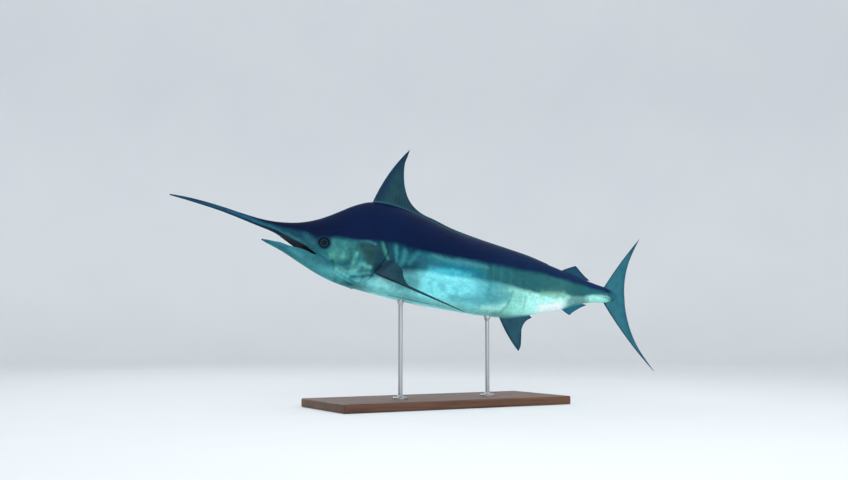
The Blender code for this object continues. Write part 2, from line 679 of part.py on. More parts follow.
def material(name, colour, roughness, metallic=0.0):
    made = bpy.data.materials.new(name)
    made.use_nodes = True
    shader = made.node_tree.nodes["Principled BSDF"]
    shader.inputs["Base Color"].default_value = (*colour, 1.0)
    shader.inputs["Roughness"].default_value = roughness
    shader.inputs["Metallic"].default_value = metallic
    return made


def paint(pieces):
    skin = material("skin", (0.20, 0.34, 0.40), 0.35, 0.2)
    fins = material("fins", (0.10, 0.12, 0.12), 0.50)
    bill = material("bill", (0.25, 0.30, 0.32), 0.45)
    eyes = material("eyes", (0.02, 0.03, 0.05), 0.08)
    wood = material("stand_wood", (0.10, 0.06, 0.04), 0.45)
    steel = material("stand_steel", (0.60, 0.60, 0.60), 0.30, 1.0)
    for piece in pieces:
        if "_fin" in piece.name:
            finish = fins
        elif piece.name.startswith("eye"):
            finish = eyes
        elif piece.name == "bill":
            finish = bill
        elif piece.name == "stand_base":
            finish = wood
        else:
            finish = steel if piece.name.startswith("stand") else skin
        piece.data.materials.clear()
        piece.data.materials.append(finish)


def main():
    for obj in list(bpy.data.objects):
        bpy.data.objects.remove(obj)
    recesses = gill_recesses()
    fish = head_pieces(recesses) + trunk_pieces(recesses)
    for recess in recesses:
        bpy.data.objects.remove(recess)
    left_cover = gill_cover()
    fish += [left_cover, mirrored(left_cover, "gill_cover_right")]
    cutter = body_cutter(GAP)
    for blade in median_fins() + tail_fins() + paired_fins():
        fish.append(combine(blade, cutter, "DIFFERENCE", keep_other=True))

    pose = bpy.data.objects.new("fish_pose", None)
    bpy.context.scene.collection.objects.link(pose)
    pose.location = JAW_TIP
    pose.rotation_euler = (math.radians(BANK_DEG), math.radians(NOSE_UP_DEG), 0.0)
    for obj in fish + [cutter]:
        swim(obj)
        obj.parent = pose
    bpy.context.view_layer.update()
    stand = stand_pieces(cutter)
    bpy.data.objects.remove(cutter)
    paint(fish + stand)
    model = bpy.data.collections.new("blue_marlin")
    bpy.context.scene.collection.children.link(model)
    for obj in fish + stand + [pose]:
        for home in list(obj.users_collection):
            home.objects.unlink(obj)
        model.objects.link(obj)
        if obj.type == "MESH":
            obj.data.shade_smooth()
            obj.data.set_sharp_from_angle(angle=math.radians(40))


main()
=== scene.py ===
"""A life-size blue marlin on its display stand: one fine skin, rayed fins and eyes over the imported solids.

The fish is built straight, in a frame of its own: x runs aft from the tip of the lower jaw, z is up and -y is its
left side, in fractions of LENGTH. Then it is bent as it swims and set on the stand, where its solids are. Tables
give their points in thousandths, as "x z, x z".
"""

import json
import math

import bpy
import numpy as np
from mathutils import Euler, Matrix, Vector

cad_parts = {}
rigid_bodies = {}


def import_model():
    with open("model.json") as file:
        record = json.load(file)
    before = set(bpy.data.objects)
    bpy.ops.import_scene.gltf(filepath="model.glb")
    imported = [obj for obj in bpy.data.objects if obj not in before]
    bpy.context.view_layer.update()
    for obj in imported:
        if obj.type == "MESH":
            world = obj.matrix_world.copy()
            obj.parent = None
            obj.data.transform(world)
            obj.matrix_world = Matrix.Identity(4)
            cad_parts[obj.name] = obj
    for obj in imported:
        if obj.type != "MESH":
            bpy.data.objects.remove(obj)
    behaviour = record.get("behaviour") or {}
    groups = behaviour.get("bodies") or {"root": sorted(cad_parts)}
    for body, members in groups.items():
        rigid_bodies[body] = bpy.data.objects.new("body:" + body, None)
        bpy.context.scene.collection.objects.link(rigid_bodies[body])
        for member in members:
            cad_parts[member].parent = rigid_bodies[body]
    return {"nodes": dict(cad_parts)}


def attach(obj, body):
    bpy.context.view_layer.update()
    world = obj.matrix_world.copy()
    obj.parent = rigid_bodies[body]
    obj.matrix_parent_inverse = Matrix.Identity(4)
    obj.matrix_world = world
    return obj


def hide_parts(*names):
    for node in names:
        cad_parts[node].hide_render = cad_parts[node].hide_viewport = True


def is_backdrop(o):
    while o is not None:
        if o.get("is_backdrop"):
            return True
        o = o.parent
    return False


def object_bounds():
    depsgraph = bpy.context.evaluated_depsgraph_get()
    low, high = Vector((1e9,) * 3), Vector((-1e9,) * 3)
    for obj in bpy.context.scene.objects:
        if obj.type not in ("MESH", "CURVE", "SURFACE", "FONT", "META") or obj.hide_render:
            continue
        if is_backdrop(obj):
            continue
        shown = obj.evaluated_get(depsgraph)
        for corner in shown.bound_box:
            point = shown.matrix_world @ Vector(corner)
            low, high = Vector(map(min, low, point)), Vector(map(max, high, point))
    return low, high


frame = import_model()
CAD_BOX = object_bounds()

# Driving dimensions, in metres and degrees
LENGTH = 2.5
NOSE_UP_DEG = 7.7
BANK_DEG = -7.0
JAW_TIP = (-1.13, 0.0, 0.98)
BEND_START, BEND = 0.45, -0.083
TWIST_START, TWIST_DEG = 0.8, 6.0

# The photograph's view, from the tip of the lower jaw
CAMERA_AWAY = (-0.777, -2.118, -0.213)
CAMERA_LOOK = (0.488, 0.8685, 0.0872)
FIELD_OF_VIEW_DEG = 45.0


def ease(low, high, x):
    """From 0 at low to 1 at high, smooth at both."""
    t = np.clip((x - low) / (high - low), 0.0, 1.0)
    return t * t * (3 - 2 * t)


def hill(x, middle, half):
    return np.exp(-(((x - middle) / half) ** 2))


def fall(x, reach):
    """1 up to 0, then less and less over the reach."""
    return np.exp(-np.maximum(x, 0) / reach)


def between(start, end, share):
    return start + (end - start) * share


def columns(*parts):
    """Arrays side by side along a new last axis."""
    return np.stack(np.broadcast_arrays(*parts), axis=-1)


def pairs(table):
    """The points of a table."""
    return np.array([pair.split() for pair in table.split(",")], float) / 1000


def curve_through(points):
    """A smooth function of x through (x, value) points."""
    xs, values = np.asarray(points, float).T
    slopes = np.gradient(values, xs)

    def at(x):
        x = np.clip(x, xs[0], xs[-1])
        i = np.clip(np.searchsorted(xs, x) - 1, 0, len(xs) - 2)
        span = xs[i + 1] - xs[i]
        t = (x - xs[i]) / span
        rise = t * t * (3 - 2 * t)
        swing = t * (1 - t) * span
        return values[i] * (1 - rise) + values[i + 1] * rise + swing * ((1 - t) * slopes[i] - t * slopes[i + 1])

    return at


def outline(table, softness=0.004):
    """A function of x through the table's points, with its changes of curvature smoothed."""
    grid = 0.0005
    xs = np.arange(-0.23, 1.01, grid)
    reach = int(4 * softness / grid)
    kernel = np.exp(-0.5 * (np.arange(-reach, reach + 1) * grid / softness) ** 2)
    values = np.pad(curve_through(pairs(table))(xs), reach, mode="edge")
    smooth = np.convolve(values, kernel / kernel.sum(), mode="valid")
    return lambda x: np.interp(x, xs, smooth)


def along_curve(points, shares):
    """Points at shares of the length of a smooth curve through 2D points."""
    lengths = np.r_[0.0, np.cumsum(np.linalg.norm(np.diff(points, axis=0), axis=1))]
    spots = np.asarray(shares) * lengths[-1]
    return columns(*(curve_through(columns(lengths, points[:, k]))(spots) for k in (0, 1)))


# Outlines of the body from the side
back = outline("""
    -205 44.7, -170 45.5, -140 44.3, -90 39.8, -45 34, 0 29.6, 30 29.5, 60 32.5, 100 41, 140 56.5, 180 78.5, 220 102.5,
    260 120, 300 125.5, 340 123.5, 400 113, 450 100.5, 500 90.5, 600 79.5, 700 68, 780 53, 860 37, 920 26.5, 955 21,
    985 13""")
belly = outline("""
    6 -16.5, 20 -21.5, 40 -27.5, 60 -34.5, 100 -52, 140 -68.5, 180 -81, 220 -88, 260 -92, 320 -96.5, 400 -100.5,
    500 -102.5, 600 -102, 660 -97.5, 700 -88.5, 780 -67, 815 -56, 860 -37, 920 -23, 955 -19, 985 -12.5""")
mouth_roof = outline("""
    -205 42.3, -170 39.3, -140 36.1, -90 29.8, -45 21.6, 0 12.5, 20 9, 43 3.5, 65 -4, 87 -12.5, 103 -19, 117 -28,
    128 -34, 145 -41, 163 -52""", 0.002)
mouth_floor = outline("""
    6 -14.5, 27 -15, 44 -16.5, 66 -21.5, 89 -24, 103 -26.5, 117 -31, 128 -34""", 0.002)
# Half widths, the heights where they lie, and how sharp the sections are towards the back and the belly
half_width = outline("""
    -205 1.2, -170 3.1, -140 4.1, -90 5.1, -45 6.3, 0 8.8, 30 11.5, 60 16, 100 25, 140 34.5, 180 41.5, 220 46.5,
    260 50.5, 320 54.5, 400 56.5, 500 55.5, 600 50, 700 39, 780 28, 860 18, 920 13, 955 9.2, 985 2.2""")
jaw_half_width = outline("6 1.8, 20 6.6, 40 11, 60 15.5, 100 24.7, 140 34.5")
widest_level = outline("""
    -205 43.5, -140 40.2, -90 34.8, -45 27.8, 0 21, 30 16.5, 60 7.5, 100 -6, 140 -11, 200 -9, 300 0, 400 2, 500 0,
    700 -8, 800 -5, 900 0, 985 0""")
jaw_widest_level = outline("6 -15.5, 40 -18.5, 60 -20, 100 -15, 140 -11")
back_ridge = outline("-50 1000, 50 1100, 120 1250, 200 1350, 300 1300, 500 1150, 800 1000")
belly_ridge = outline("0 1000, 120 1150, 250 1050, 500 950, 800 1000")

# Forms of the head and the tail stalk
BILL_TIP, JAW_START, MOUTH_CORNER, THROAT_END, STALK_END = -0.205, 0.006, 0.128, 0.158, 0.992
BILL_ROUND, JAW_ROUND, STALK_ROUND = 0.0014, 0.0022, 0.032
EYE = (0.141, -0.006)
EYE_RADIUS, EYE_DEPTH, EYE_BULGE, CORNEA = 0.031, 0.02, 0.0035, 0.003
NOSTRILS = ((0.1, 0.01, 0.0038, 0.003), (0.108, 0.0085, 0.0052, 0.0036))  # x, z, half length and height, metres
GILL_COVER = pairs("""
    197 34, 206 10, 213 -14, 216 -34, 211 -52, 203 -66, 205 -77, 220 -82, 240 -82, 253 -74, 264 -57, 275 -38, 286 -20,
    291 0, 284 20, 262 38, 235 44, 212 42""")
MAXILLA = pairs("85 -6, 158 -42")
JAW_JOINT = pairs("160 -40, 168 -48, 172 -58, 171 -66")
LOWER_COVER_SEAM = pairs("212 -52, 232 -50, 252 -44, 270 -30")
BROW = pairs("108 17, 135 16.5, 165 21, 190 31")
KEELS = (0.948, 0.0085, 7.0, 0.06)  # middle, height above the midline, slope in degrees and half length in metres
KEEL_CREST, KEEL_SWELL, KEEL_SHADE = (0.0105, 0.0062), (0.0018, 0.014), 58.0

# How fine the skin is: steps in metres along the fish from each station on, and points round a section
SKIN_STEPS = ((BILL_TIP, 0.003), (0.03, 0.0017), (0.325, 0.0052), (0.9, 0.0022), (STALK_END, 0.0022))
UPPER_POINTS, LOWER_POINTS, MOUTH_POINTS = 260, 116, 56
ARC_STEPS, THROAT_ROWS = 900, 8
SMALLEST_CUT = 0.9  # radians of the underside of the bill, and of the top of the jaw, that count as the mouth's
CUT_SOFTNESS = 0.08
LIP_POINTS, LIP_PASSES, LIP_SHARE = 5, 12, 0.6  # how far and how strongly the lips are rounded
EYE_RINGS, EYE_POINTS = 48, 96

# Paired fins
PECTORAL_HELD_OUT = {
    "root": ((0.276, -0.056), (0.302, -0.026)), "sunk": (0.0, 0.022),
    "span": (0.743, -0.546, -0.388), "chord": (0.669, 0.71, 0.221),
}
PECTORAL_FOLDED = {
    "root": ((0.297, -0.022), (0.276, -0.053)), "sunk": (0.006, 0.004),
    "span": (0.97, -0.23, -0.075), "chord": (-0.15, 0.27, -0.95),
}
PECTORAL_TWIST_END = 0.07
PELVIC_ROOT = (0.305, -0.0925)
PELVIC_SPAN, PELVIC_CHORD = (0.996, -0.05, -0.055), (0.0, 0.9, -0.34)
PELVIC_SUNK, PELVIC_INWARD = 0.009, np.array((0.0, 0.34, 0.94))
RAY_RIDGE = 0.0009


def swum(points):
    """Where points of the straight fish, in metres, lie once its tail has swung and turned."""
    x, y, z = np.moveaxis(np.asarray(points, float), -1, 0)
    turn = math.radians(TWIST_DEG) * ease(TWIST_START, 1.0, x / LENGTH)
    y, z = y * np.cos(turn) + z * np.sin(turn), z * np.cos(turn) - y * np.sin(turn)
    run = np.maximum(0.0, x - BEND_START * LENGTH)
    heading = np.arctan(2 * BEND * run / LENGTH)
    shorter = 2 / 3 * BEND**2 * run**3 / LENGTH**2
    return columns(x - shorter - np.sin(heading) * y, BEND * run * run / LENGTH + np.cos(heading) * y, z)


TILT = Euler((math.radians(BANK_DEG), math.radians(NOSE_UP_DEG), 0.0)).to_matrix().to_4x4()
POSE = Matrix.Translation(JAW_TIP) @ TILT


def posed(points):
    """Points of the straight fish, in metres, where they stand in the scene."""
    turn = np.array(POSE)
    return swum(points) @ turn[:3, :3].T + turn[:3, 3]


def flank(x, z, out=0.0):
    """The point on the left flank at x and z, moved out by a length in metres, in metres."""
    level = widest_level(x)
    reach, ridge = (back(x) - level, back_ridge(x)) if z > level else (belly(x) - level, belly_ridge(x))
    up = min(1.0, (z - level) / reach)
    return np.array([x * LENGTH, -half_width(x) * math.sqrt(1 - up * up) ** ridge * LENGTH - out, z * LENGTH])


# The skin's grid


def head_share(x):
    """From 0 where the bill and the lower jaw are each round, to 1 where they share the head's section."""
    return ease(0.03, 0.13, x)


def stations():
    """Where the skin's sections lie, closer together at the blunt ends."""
    found = []
    for (start, step), (end, _) in zip(SKIN_STEPS, SKIN_STEPS[1:]):
        found += list(np.linspace(start, end, max(2, round((end - start) * LENGTH / step)), endpoint=False))
    found = [x for x in found if abs(x - MOUTH_CORNER) > 0.0003]
    near_tip = BILL_TIP + np.array([0.00004, 0.00015, 0.0003, 0.0006, 0.0009])
    near_end = STALK_END - np.array([0.00005, 0.0002, 0.0004])
    return np.unique(np.r_[found, MOUTH_CORNER, STALK_END, near_tip, near_end])


def blunt(x, end, length):
    """How much a section is drawn in, to round off an end: 0 at the end, 1 further in."""
    t = np.clip(abs(x - end) / length, 0.0, 1.0)
    return np.maximum(0.02, np.sqrt(1 - (1 - t) ** 2))


def arc(section, start, end, count, share):
    """Evenly spaced points, as (y, z), round a part of a section that is drawn in to a share of its size."""
    top, bottom, width, level, over, under = section
    turn = np.linspace(start, end, ARC_STEPS)
    across, up = np.cos(turn), np.sin(turn)
    z = level + up * np.where(up > 0, top - level, level - bottom)
    y = np.sign(across) * np.abs(across) ** np.where(up > 0, over, under) * width
    along = np.r_[0.0, np.cumsum(np.hypot(np.diff(y), np.diff(z)))]
    spots = np.linspace(0.0, along[-1], count)
    return between(np.array([0.0, level]), columns(*(np.interp(spots, along, part) for part in (y, z))), share)


def cut(z, level, top, bottom, side):
    """The angle at which a section opens into the mouth at the height z, with a smooth limit."""
    turn = math.asin(np.clip((z - level) / (top - level if z > level else level - bottom), -1, 1))
    limit = SMALLEST_CUT - math.pi / 2
    return side * (limit + CUT_SOFTNESS * np.logaddexp(0.0, (side * turn - limit) / CUT_SOFTNESS))


def upper_section(x):
    """The section of the bill and the upper head at x, and the angle at which it opens into the mouth."""
    bottom, level = between(mouth_roof(x), belly(x), head_share(x)), widest_level(x)
    section = (back(x), bottom, half_width(x), level, back_ridge(x), belly_ridge(x))
    return section, cut(mouth_roof(x), level, back(x), bottom, 1)


def jaw_section(x):
    """The section of the lower jaw at x, which passes into the head's own, and its angle at the mouth."""
    joined = ease(0.095, MOUTH_CORNER, x)
    top = between(mouth_floor(x), back(x), head_share(x))
    level = between(jaw_widest_level(x), widest_level(x), joined)
    width = between(jaw_half_width(x), half_width(x), joined)
    section = (top, belly(x), width, level, back_ridge(x), belly_ridge(x))
    return section, cut(min(mouth_floor(x), mouth_roof(x)), level, top, belly(x), -1)


def outer_sheets(xs):
    """The outside of the fish as an upper sheet over all stations and a lower one from the jaw's tip on."""
    _, corner = upper_section(MOUTH_CORNER)
    upper, lower = [], []
    for x in xs:
        section, edge = upper_section(x)
        edge = corner if x > MOUTH_CORNER else edge
        share = blunt(x, BILL_TIP, BILL_ROUND) * blunt(x, STALK_END, STALK_ROUND)
        upper.append(arc(section, edge, math.pi - edge, UPPER_POINTS, share))
        if x < JAW_START:
            continue
        if x < MOUTH_CORNER - 1e-9:
            section, edge = jaw_section(x)
            share = blunt(x, JAW_START, JAW_ROUND)
        lower.append(arc(section, math.pi - edge, 2 * math.pi + edge, LOWER_POINTS, share))
    return np.array(upper), np.array(lower)


def lining(sheet, x, height, depth, arch):
    """The mouth's roof or floor: a curved strip between the edges of an outer sheet, as (y, z) rows."""
    t = np.linspace(-1.0, 1.0, MOUTH_POINTS)
    rows = between(sheet[:, -1:], sheet[:, :1], ((1 + t) / 2)[:, None])
    share = head_share(x)[:, None]
    hollow = (height - sheet[:, -1, 1])[:, None] * np.sqrt(1 - t**2) * (1 - share)
    rows[..., 1] += hollow + (depth * arch)[:, None] * (1 - t**4) * share
    return rows


def mouth_sheets(xs, upper, lower):
    """The mouth's roof up to the corner and its floor with the tongue, as (y, z) rows."""
    last, first = int(np.searchsorted(xs, MOUTH_CORNER - 1e-9)) + 1, len(xs) - len(lower)
    x = xs[:last]
    height = between(widest_level(x), mouth_roof(x), blunt(x, BILL_TIP, BILL_ROUND))
    roof = lining(upper[:last], x, height, 0.0045, ease(0.04, 0.09, x))
    x = xs[first:last]
    height = between(jaw_widest_level(x), np.minimum(mouth_floor(x), mouth_roof(x)), blunt(x, JAW_START, JAW_ROUND))
    floor = lining(lower[: last - first], x, height, -0.005, ease(0.03, 0.09, x))
    tongue = 0.0042 * ease(0.045, 0.06, x) * (1 - ease(0.11, 0.127, x))
    floor[..., 1] += tongue[:, None] * hill(floor[..., 0], 0.0, 0.0052)
    return roof, floor


def throat_rows(roof, floor):
    """Rows that close the mouth behind its corner: roof and floor points each, in metres."""
    for t in np.linspace(0, 1, THROAT_ROWS + 1)[1:]:
        above, below = roof[-1] * [1 - 0.5 * t, 1], floor[-1] * [1 - 0.5 * t, 1]
        middle = (above + below[::-1]) / 2
        rows = between(middle, above, 1 - t), between(middle[::-1], below, 1 - t)
        x = between(MOUTH_CORNER, THROAT_END, t)
        yield [with_x([x], row[None] + [0.0, -0.012 * t])[0] for row in rows]


def with_x(xs, rows):
    """(y, z) rows at stations as points in metres."""
    return columns(np.asarray(xs)[:, None], rows[..., 0], rows[..., 1]) * LENGTH


def rounded_lips(outer, inner, fade):
    """Rounds the edges where an outer sheet and a strip of lining meet, by smoothing round each section."""
    count = outer.shape[1]
    loop = np.concatenate([outer, inner[:, 1:-1]], axis=1)
    size = loop.shape[1]
    gaps = [np.abs(np.arange(size) - edge) for edge in (0, count - 1)]
    near = np.max([np.clip(1 - np.minimum(gap, size - gap) / LIP_POINTS, 0, 1) for gap in gaps], axis=0)
    weight = near[None, :, None] * fade[:, None, None]
    for _ in range(LIP_PASSES):
        middle = (np.roll(loop, 1, axis=1) + np.roll(loop, -1, axis=1)) / 2
        loop = loop + LIP_SHARE * weight * (middle - loop)
    return loop[:, :count], np.concatenate([loop[:, count - 1 :], loop[:, :1]], axis=1)


# Forms raised and sunk in the skin


def distance_to(points, x, z):
    """How far points of the side view lie from a polyline, and how far along it, from 0 to 1."""
    best, along = np.full(x.shape, 9.0), np.zeros(x.shape)
    for k, (a, b) in enumerate(zip(points[:-1], points[1:])):
        run = b - a
        t = np.clip(((x - a[0]) * run[0] + (z - a[1]) * run[1]) / (run @ run), 0, 1)
        gap = np.hypot(x - a[0] - t * run[0], z - a[1] - t * run[1])
        nearer = gap < best
        best[nearer] = gap[nearer]
        along[nearer] = (k + t[nearer]) / (len(points) - 1)
    return best, along


def within(points, x, z):
    """True where the side view's points lie inside a closed outline."""
    inside = np.zeros(x.shape, bool)
    for a, b in zip(points, np.roll(points, -1, axis=0)):
        if a[1] != b[1]:
            crosses = (z < a[1]) != (z < b[1])
            inside ^= crosses & (x < (b[0] - a[0]) * (z - a[1]) / (b[1] - a[1]) + a[0])
    return inside


def crease(points, x, z, depth, width):
    """A groove along a line of the side view, which fades out towards both ends, in metres."""
    gap, along = distance_to(along_curve(points, np.linspace(0, 1, 24)), x, z)
    return depth * hill(gap * LENGTH, 0.0, width) * ease(0.0, 0.15, along) * (1 - ease(0.85, 1.0, along))


def ledge(s, rise, before, drop, behind, start, end):
    """The height of an edge along the distance s: it rises up to 0, changes between start and end, and dies away."""
    return between(rise * fall(-s, before), drop * fall(s, behind), ease(start, end, s))


def gill_forms(x, z):
    """The gill cover's edge in the skin, in metres, and how far a point is under its shadow."""
    line = along_curve(np.concatenate([GILL_COVER, GILL_COVER[:1]]), np.linspace(0, 1, 90))
    gap = distance_to(line, x, z)[0] * LENGTH
    s = np.where(within(line[:-1], x, z), -gap, gap)
    rear, low = ease(0.208, 0.25, x), 1 - ease(0.004, 0.034, z)
    flap = ledge(s, 0.0034, 0.045, -0.0052, 0.0075, -0.0012, 0.003)
    fore = ledge(s, -0.0016, 0.011, 0.0013, 0.022, -0.006, 0.004)
    return between(fore, flap, rear) * (0.12 + 0.88 * low), hill(s, 0.002, 0.0042) * (0.08 + 0.92 * rear) * low


def eye_forms(x, z):
    """The orbit's rim, higher under the brow, and the socket that the eye sits in."""
    r = np.hypot(x - EYE[0], z - EYE[1]) * LENGTH
    wide = np.hypot((x - EYE[0]) / 1.1, z - EYE[1]) * LENGTH
    crest = EYE_RADIUS + 0.0036
    height = 0.003 + 0.0014 * ease(-0.012, 0.012, z - EYE[1])
    rim = height * hill(wide, crest, np.where(wide > crest, 0.0175, 0.007))
    socket = -0.016 * (1 - ease(EYE_RADIUS - 0.007, EYE_RADIUS + 0.001, r))
    return rim + socket, r


def maxilla_form(x, z):
    """The bar of bone over the corner of the mouth, wider and rounded behind, with painted shade along its edge."""
    gap, t = distance_to(MAXILLA, x, z)
    gap, half = gap * LENGTH, 0.0046 + 0.0072 * t
    body = 0.003 * ease(0.0, 0.5, t) * (1 - ease(half * 0.35, half * 1.2, gap))
    edge = -0.0008 * hill(gap, half * 1.25, 0.0026) * ease(0.3, 0.7, t)
    return body + edge, hill(gap, half * 1.22, 0.0026) * ease(0.4, 0.8, t)


# The nostrils' pits, sunk into the skin, with painted shade in them
def nostril_forms(x, z):
    pits = np.zeros(x.shape)
    for at_x, at_z, long, high in NOSTRILS:
        r = np.hypot((x - at_x) * LENGTH / long, (z - at_z) * LENGTH / high)
        pits = np.maximum(pits, 1 - ease(0.55, 1.15, r))
    return -0.004 * pits, pits


def throat_forms(x, y, z):
    """The folds of the gill membranes under the throat, and the edge where they end, with painted shade just behind
    that edge.
    """
    under = ease(-0.05, -0.066, z) * ease(0.1, 0.14, x)
    s = (x - 0.236 - 5.0 * y * y) * LENGTH
    flap = ledge(s, 0.0042, 0.03, -0.0036, 0.01, -0.0015, 0.003)
    aside = np.abs(y) * LENGTH
    lines = aside + 0.1 * (x - 0.2) * LENGTH + 0.004 * np.sin(34 * x + 60 * np.abs(y))
    folds = 0.0007 * np.cos(2 * math.pi * lines / 0.0165) * (s < 0) * ease(0.0, -0.012, s)
    folds *= ease(0.012, 0.026, aside) * ease(0.14, 0.18, x)
    return (flap + folds) * under, hill(s, 0.0022, 0.004) * under


def keel_forms(x, z):
    """The two low keels on each side of the tail stalk."""
    middle, level, slope, half = KEELS
    run = (x - middle) * LENGTH
    fade = np.clip(1 - (run / half) ** 2, 0, 1) ** 1.6
    lift = np.zeros(x.shape)
    for sign in (1, -1):
        off = (z - sign * level) * LENGTH - sign * math.tan(math.radians(slope)) * run
        crest = KEEL_CREST[0] * np.exp(-np.abs(off) / KEEL_CREST[1])
        lift += fade * (crest + KEEL_SWELL[0] * hill(off, 0.0, KEEL_SWELL[1]))
    return lift


def forms(points):
    """How far each point of the outside moves out along its normal, and the marks to paint there: painted shade in its
    creases, pits and under its edges, and how far it lies from the eye.
    """
    x, y, z = np.moveaxis(points / LENGTH, -1, 0)
    lift, dark, orbit = np.zeros(x.shape), np.zeros(x.shape), np.ones(x.shape)
    head = (x > 0.05) & (x < 0.345)
    hx, hy, hz = x[head], y[head], z[head]
    gills, gill_shade = gill_forms(hx, hz)
    rim, orbit[head] = eye_forms(hx, hz)
    bar, bar_shade = maxilla_form(hx, hz)
    pits, pit_shade = nostril_forms(hx, hz)
    folds, fold_shade = throat_forms(hx, hy, hz)
    joint = crease(JAW_JOINT, hx, hz, 1.0, 0.0046)
    seam = crease(LOWER_COVER_SEAM, hx, hz, 1.0, 0.0026)
    brow = crease(BROW, hx, hz, 0.0022, 0.014)
    low_edge = ease(-0.074, -0.066, hz)
    side = gills * np.maximum(low_edge, 0.35) + bar + pits + brow - 0.0024 * joint - 0.001 * seam
    lift[head] = side + rim + folds
    # Painted shade: under the gill cover's edge, along the maxilla's edge, in the nostril pits, under the throat's
    # flap, and in the creases of the jaw joint and the cover's seam
    shade = gill_shade * low_edge + bar_shade * 0.4 + pit_shade + fold_shade * 0.7 + 0.6 * joint + 0.25 * seam
    dark[head] = np.clip(shade, 0, 1)
    tail = x > 0.9
    keels = keel_forms(x[tail], z[tail])
    lift[tail] += keels
    # Painted shade along the keels
    dark[tail] = KEEL_SHADE * keels
    notch = hill(x, 0.962, 0.008) * ease(0.6, 1.0, np.abs(z) / np.maximum(back(x), 1e-4)) * tail
    return lift - 0.0022 * notch, columns(dark, 0.0, orbit)


def normals_of(sheet, ring=False):
    """Outward unit normals of a grid of points; a ring closes on itself across its columns."""
    along = np.gradient(sheet, axis=0)
    if ring:
        around = np.roll(sheet, -1, axis=1) - np.roll(sheet, 1, axis=1)
    else:
        around = np.gradient(sheet, axis=1)
    normals = np.cross(around, along)
    return normals / np.maximum(np.linalg.norm(normals, axis=-1, keepdims=True), 1e-12)


def outward_normals(upper, lower, corner):
    """Normals of both outer sheets, which are one ring behind the corner of the mouth."""
    joined = corner - len(upper) + len(lower)
    up, down = normals_of(upper), normals_of(lower)
    whole = normals_of(np.concatenate([upper[corner:], lower[joined:, 1:-1]], axis=1), ring=True)
    whole[0] = whole[1]
    up[corner:], down[joined:, 1:-1] = np.split(whole, [upper.shape[1]], axis=1)
    down[joined:, 0], down[joined:, -1] = up[corner:, -1], up[corner:, 0]
    return up, down


SKIN_NODES = (
    "bill", "head", "lower_jaw", "gill_cover_left", "gill_cover_right", "trunk_front", "trunk_rear", "tail_stalk",
)
# The mark dark is painted shade in the skin's creases, pits and hollows
SKIN_MARKS = ("dark", "mouth", "orbit")
FIN_MARKS = ("ray", "reach", "chord", "root")
EYE_MARKS = ("gaze", "around_x", "around_y")


class Sheets:
    """Gathers grids of points into one mesh, with values at each point."""

    def __init__(self):
        self.points, self.marks, self.faces, self.count = [], [], [], 0

    def add(self, points, marks):
        """Adds points with their marks and gives their numbers."""
        shape = points.shape[:-1]
        self.points.append(points.reshape(-1, 3))
        self.marks.append(np.broadcast_to(marks, (*shape, np.shape(marks)[-1])).reshape(len(self.points[-1]), -1))
        numbers = self.count + np.arange(len(self.points[-1])).reshape(shape)
        self.count += numbers.size
        return numbers

    def quads(self, numbers):
        """Faces between the rows of a grid of point numbers."""
        corners = numbers[:-1, :-1], numbers[:-1, 1:], numbers[1:, 1:], numbers[1:, :-1]
        self.faces.append(columns(*corners).reshape(-1, 4))

    def fan(self, loop, centre, marks):
        """Closes a loop of point numbers with triangles to one point."""
        self.faces.append(columns(loop, np.roll(loop, -1), self.add(centre[None], marks)[0]))

    def mesh(self, name, kinds):
        points, marks = np.concatenate(self.points), np.concatenate(self.marks)
        sizes = np.concatenate([np.full(len(faces), faces.shape[1]) for faces in self.faces])
        corners = np.concatenate([faces.reshape(-1) for faces in self.faces])
        used, corners = np.unique(corners, return_inverse=True)
        points, marks = points[used], marks[used]
        mesh = bpy.data.meshes.new(name)
        for parts, count in ((mesh.vertices, len(points)), (mesh.loops, len(corners)), (mesh.polygons, len(sizes))):
            parts.add(count)
        mesh.vertices.foreach_set("co", posed(points).reshape(-1).astype(np.float32))
        mesh.loops.foreach_set("vertex_index", corners.astype(np.int32))
        mesh.polygons.foreach_set("loop_start", np.r_[0, np.cumsum(sizes)[:-1]].astype(np.int32))
        mesh.update(calc_edges=True)
        mesh.validate()
        write_layer(mesh, "fish", "FLOAT_VECTOR", points / LENGTH)
        for k, kind in enumerate(kinds):
            write_layer(mesh, kind, "FLOAT", marks[:, k])
        mesh.shade_smooth()
        return mesh


def write_layer(mesh, name, kind, values):
    """Keeps a value, vector or colour at each of the mesh's points."""
    key = {"FLOAT": "value", "FLOAT_VECTOR": "vector", "FLOAT_COLOR": "color"}[kind]
    mesh.attributes.new(name, kind, "POINT").data.foreach_set(key, values.reshape(-1).astype(np.float32))


def new_piece(name, mesh, nodes):
    """Makes a mesh a piece of the fish, in place of the nodes that it stands for."""
    piece = bpy.data.objects.new(name, mesh)
    bpy.context.scene.collection.objects.link(piece)
    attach(piece, "root")
    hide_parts(*nodes)
    return piece


def skin_points():
    """The skin's upper and lower sheets with their marks, the mouth's roof and floor, and the throat's rows."""
    xs = stations()
    upper_rows, lower_rows = outer_sheets(xs)
    roof_rows, floor_rows = mouth_sheets(xs, upper_rows, lower_rows)
    past, first = len(roof_rows), len(xs) - len(lower_rows)
    upper, lower = with_x(xs, upper_rows), with_x(xs[first:], lower_rows)
    up, down = outward_normals(upper, lower, past - 1)
    lift, upper_marks = forms(upper)
    upper += up * lift[..., None]
    lift, lower_marks = forms(lower)
    lower += down * lift[..., None]
    fade = 1 - ease(MOUTH_CORNER - 0.006, MOUTH_CORNER - 0.0005, xs[:past])
    upper[:past], roof = rounded_lips(upper[:past], with_x(xs[:past], roof_rows), fade)
    front = past - first
    lower[:front], floor = rounded_lips(lower[:front], with_x(xs[first:past], floor_rows), fade[first:])
    return (upper, upper_marks), (lower, lower_marks), roof, floor, throat_rows(roof_rows, floor_rows)


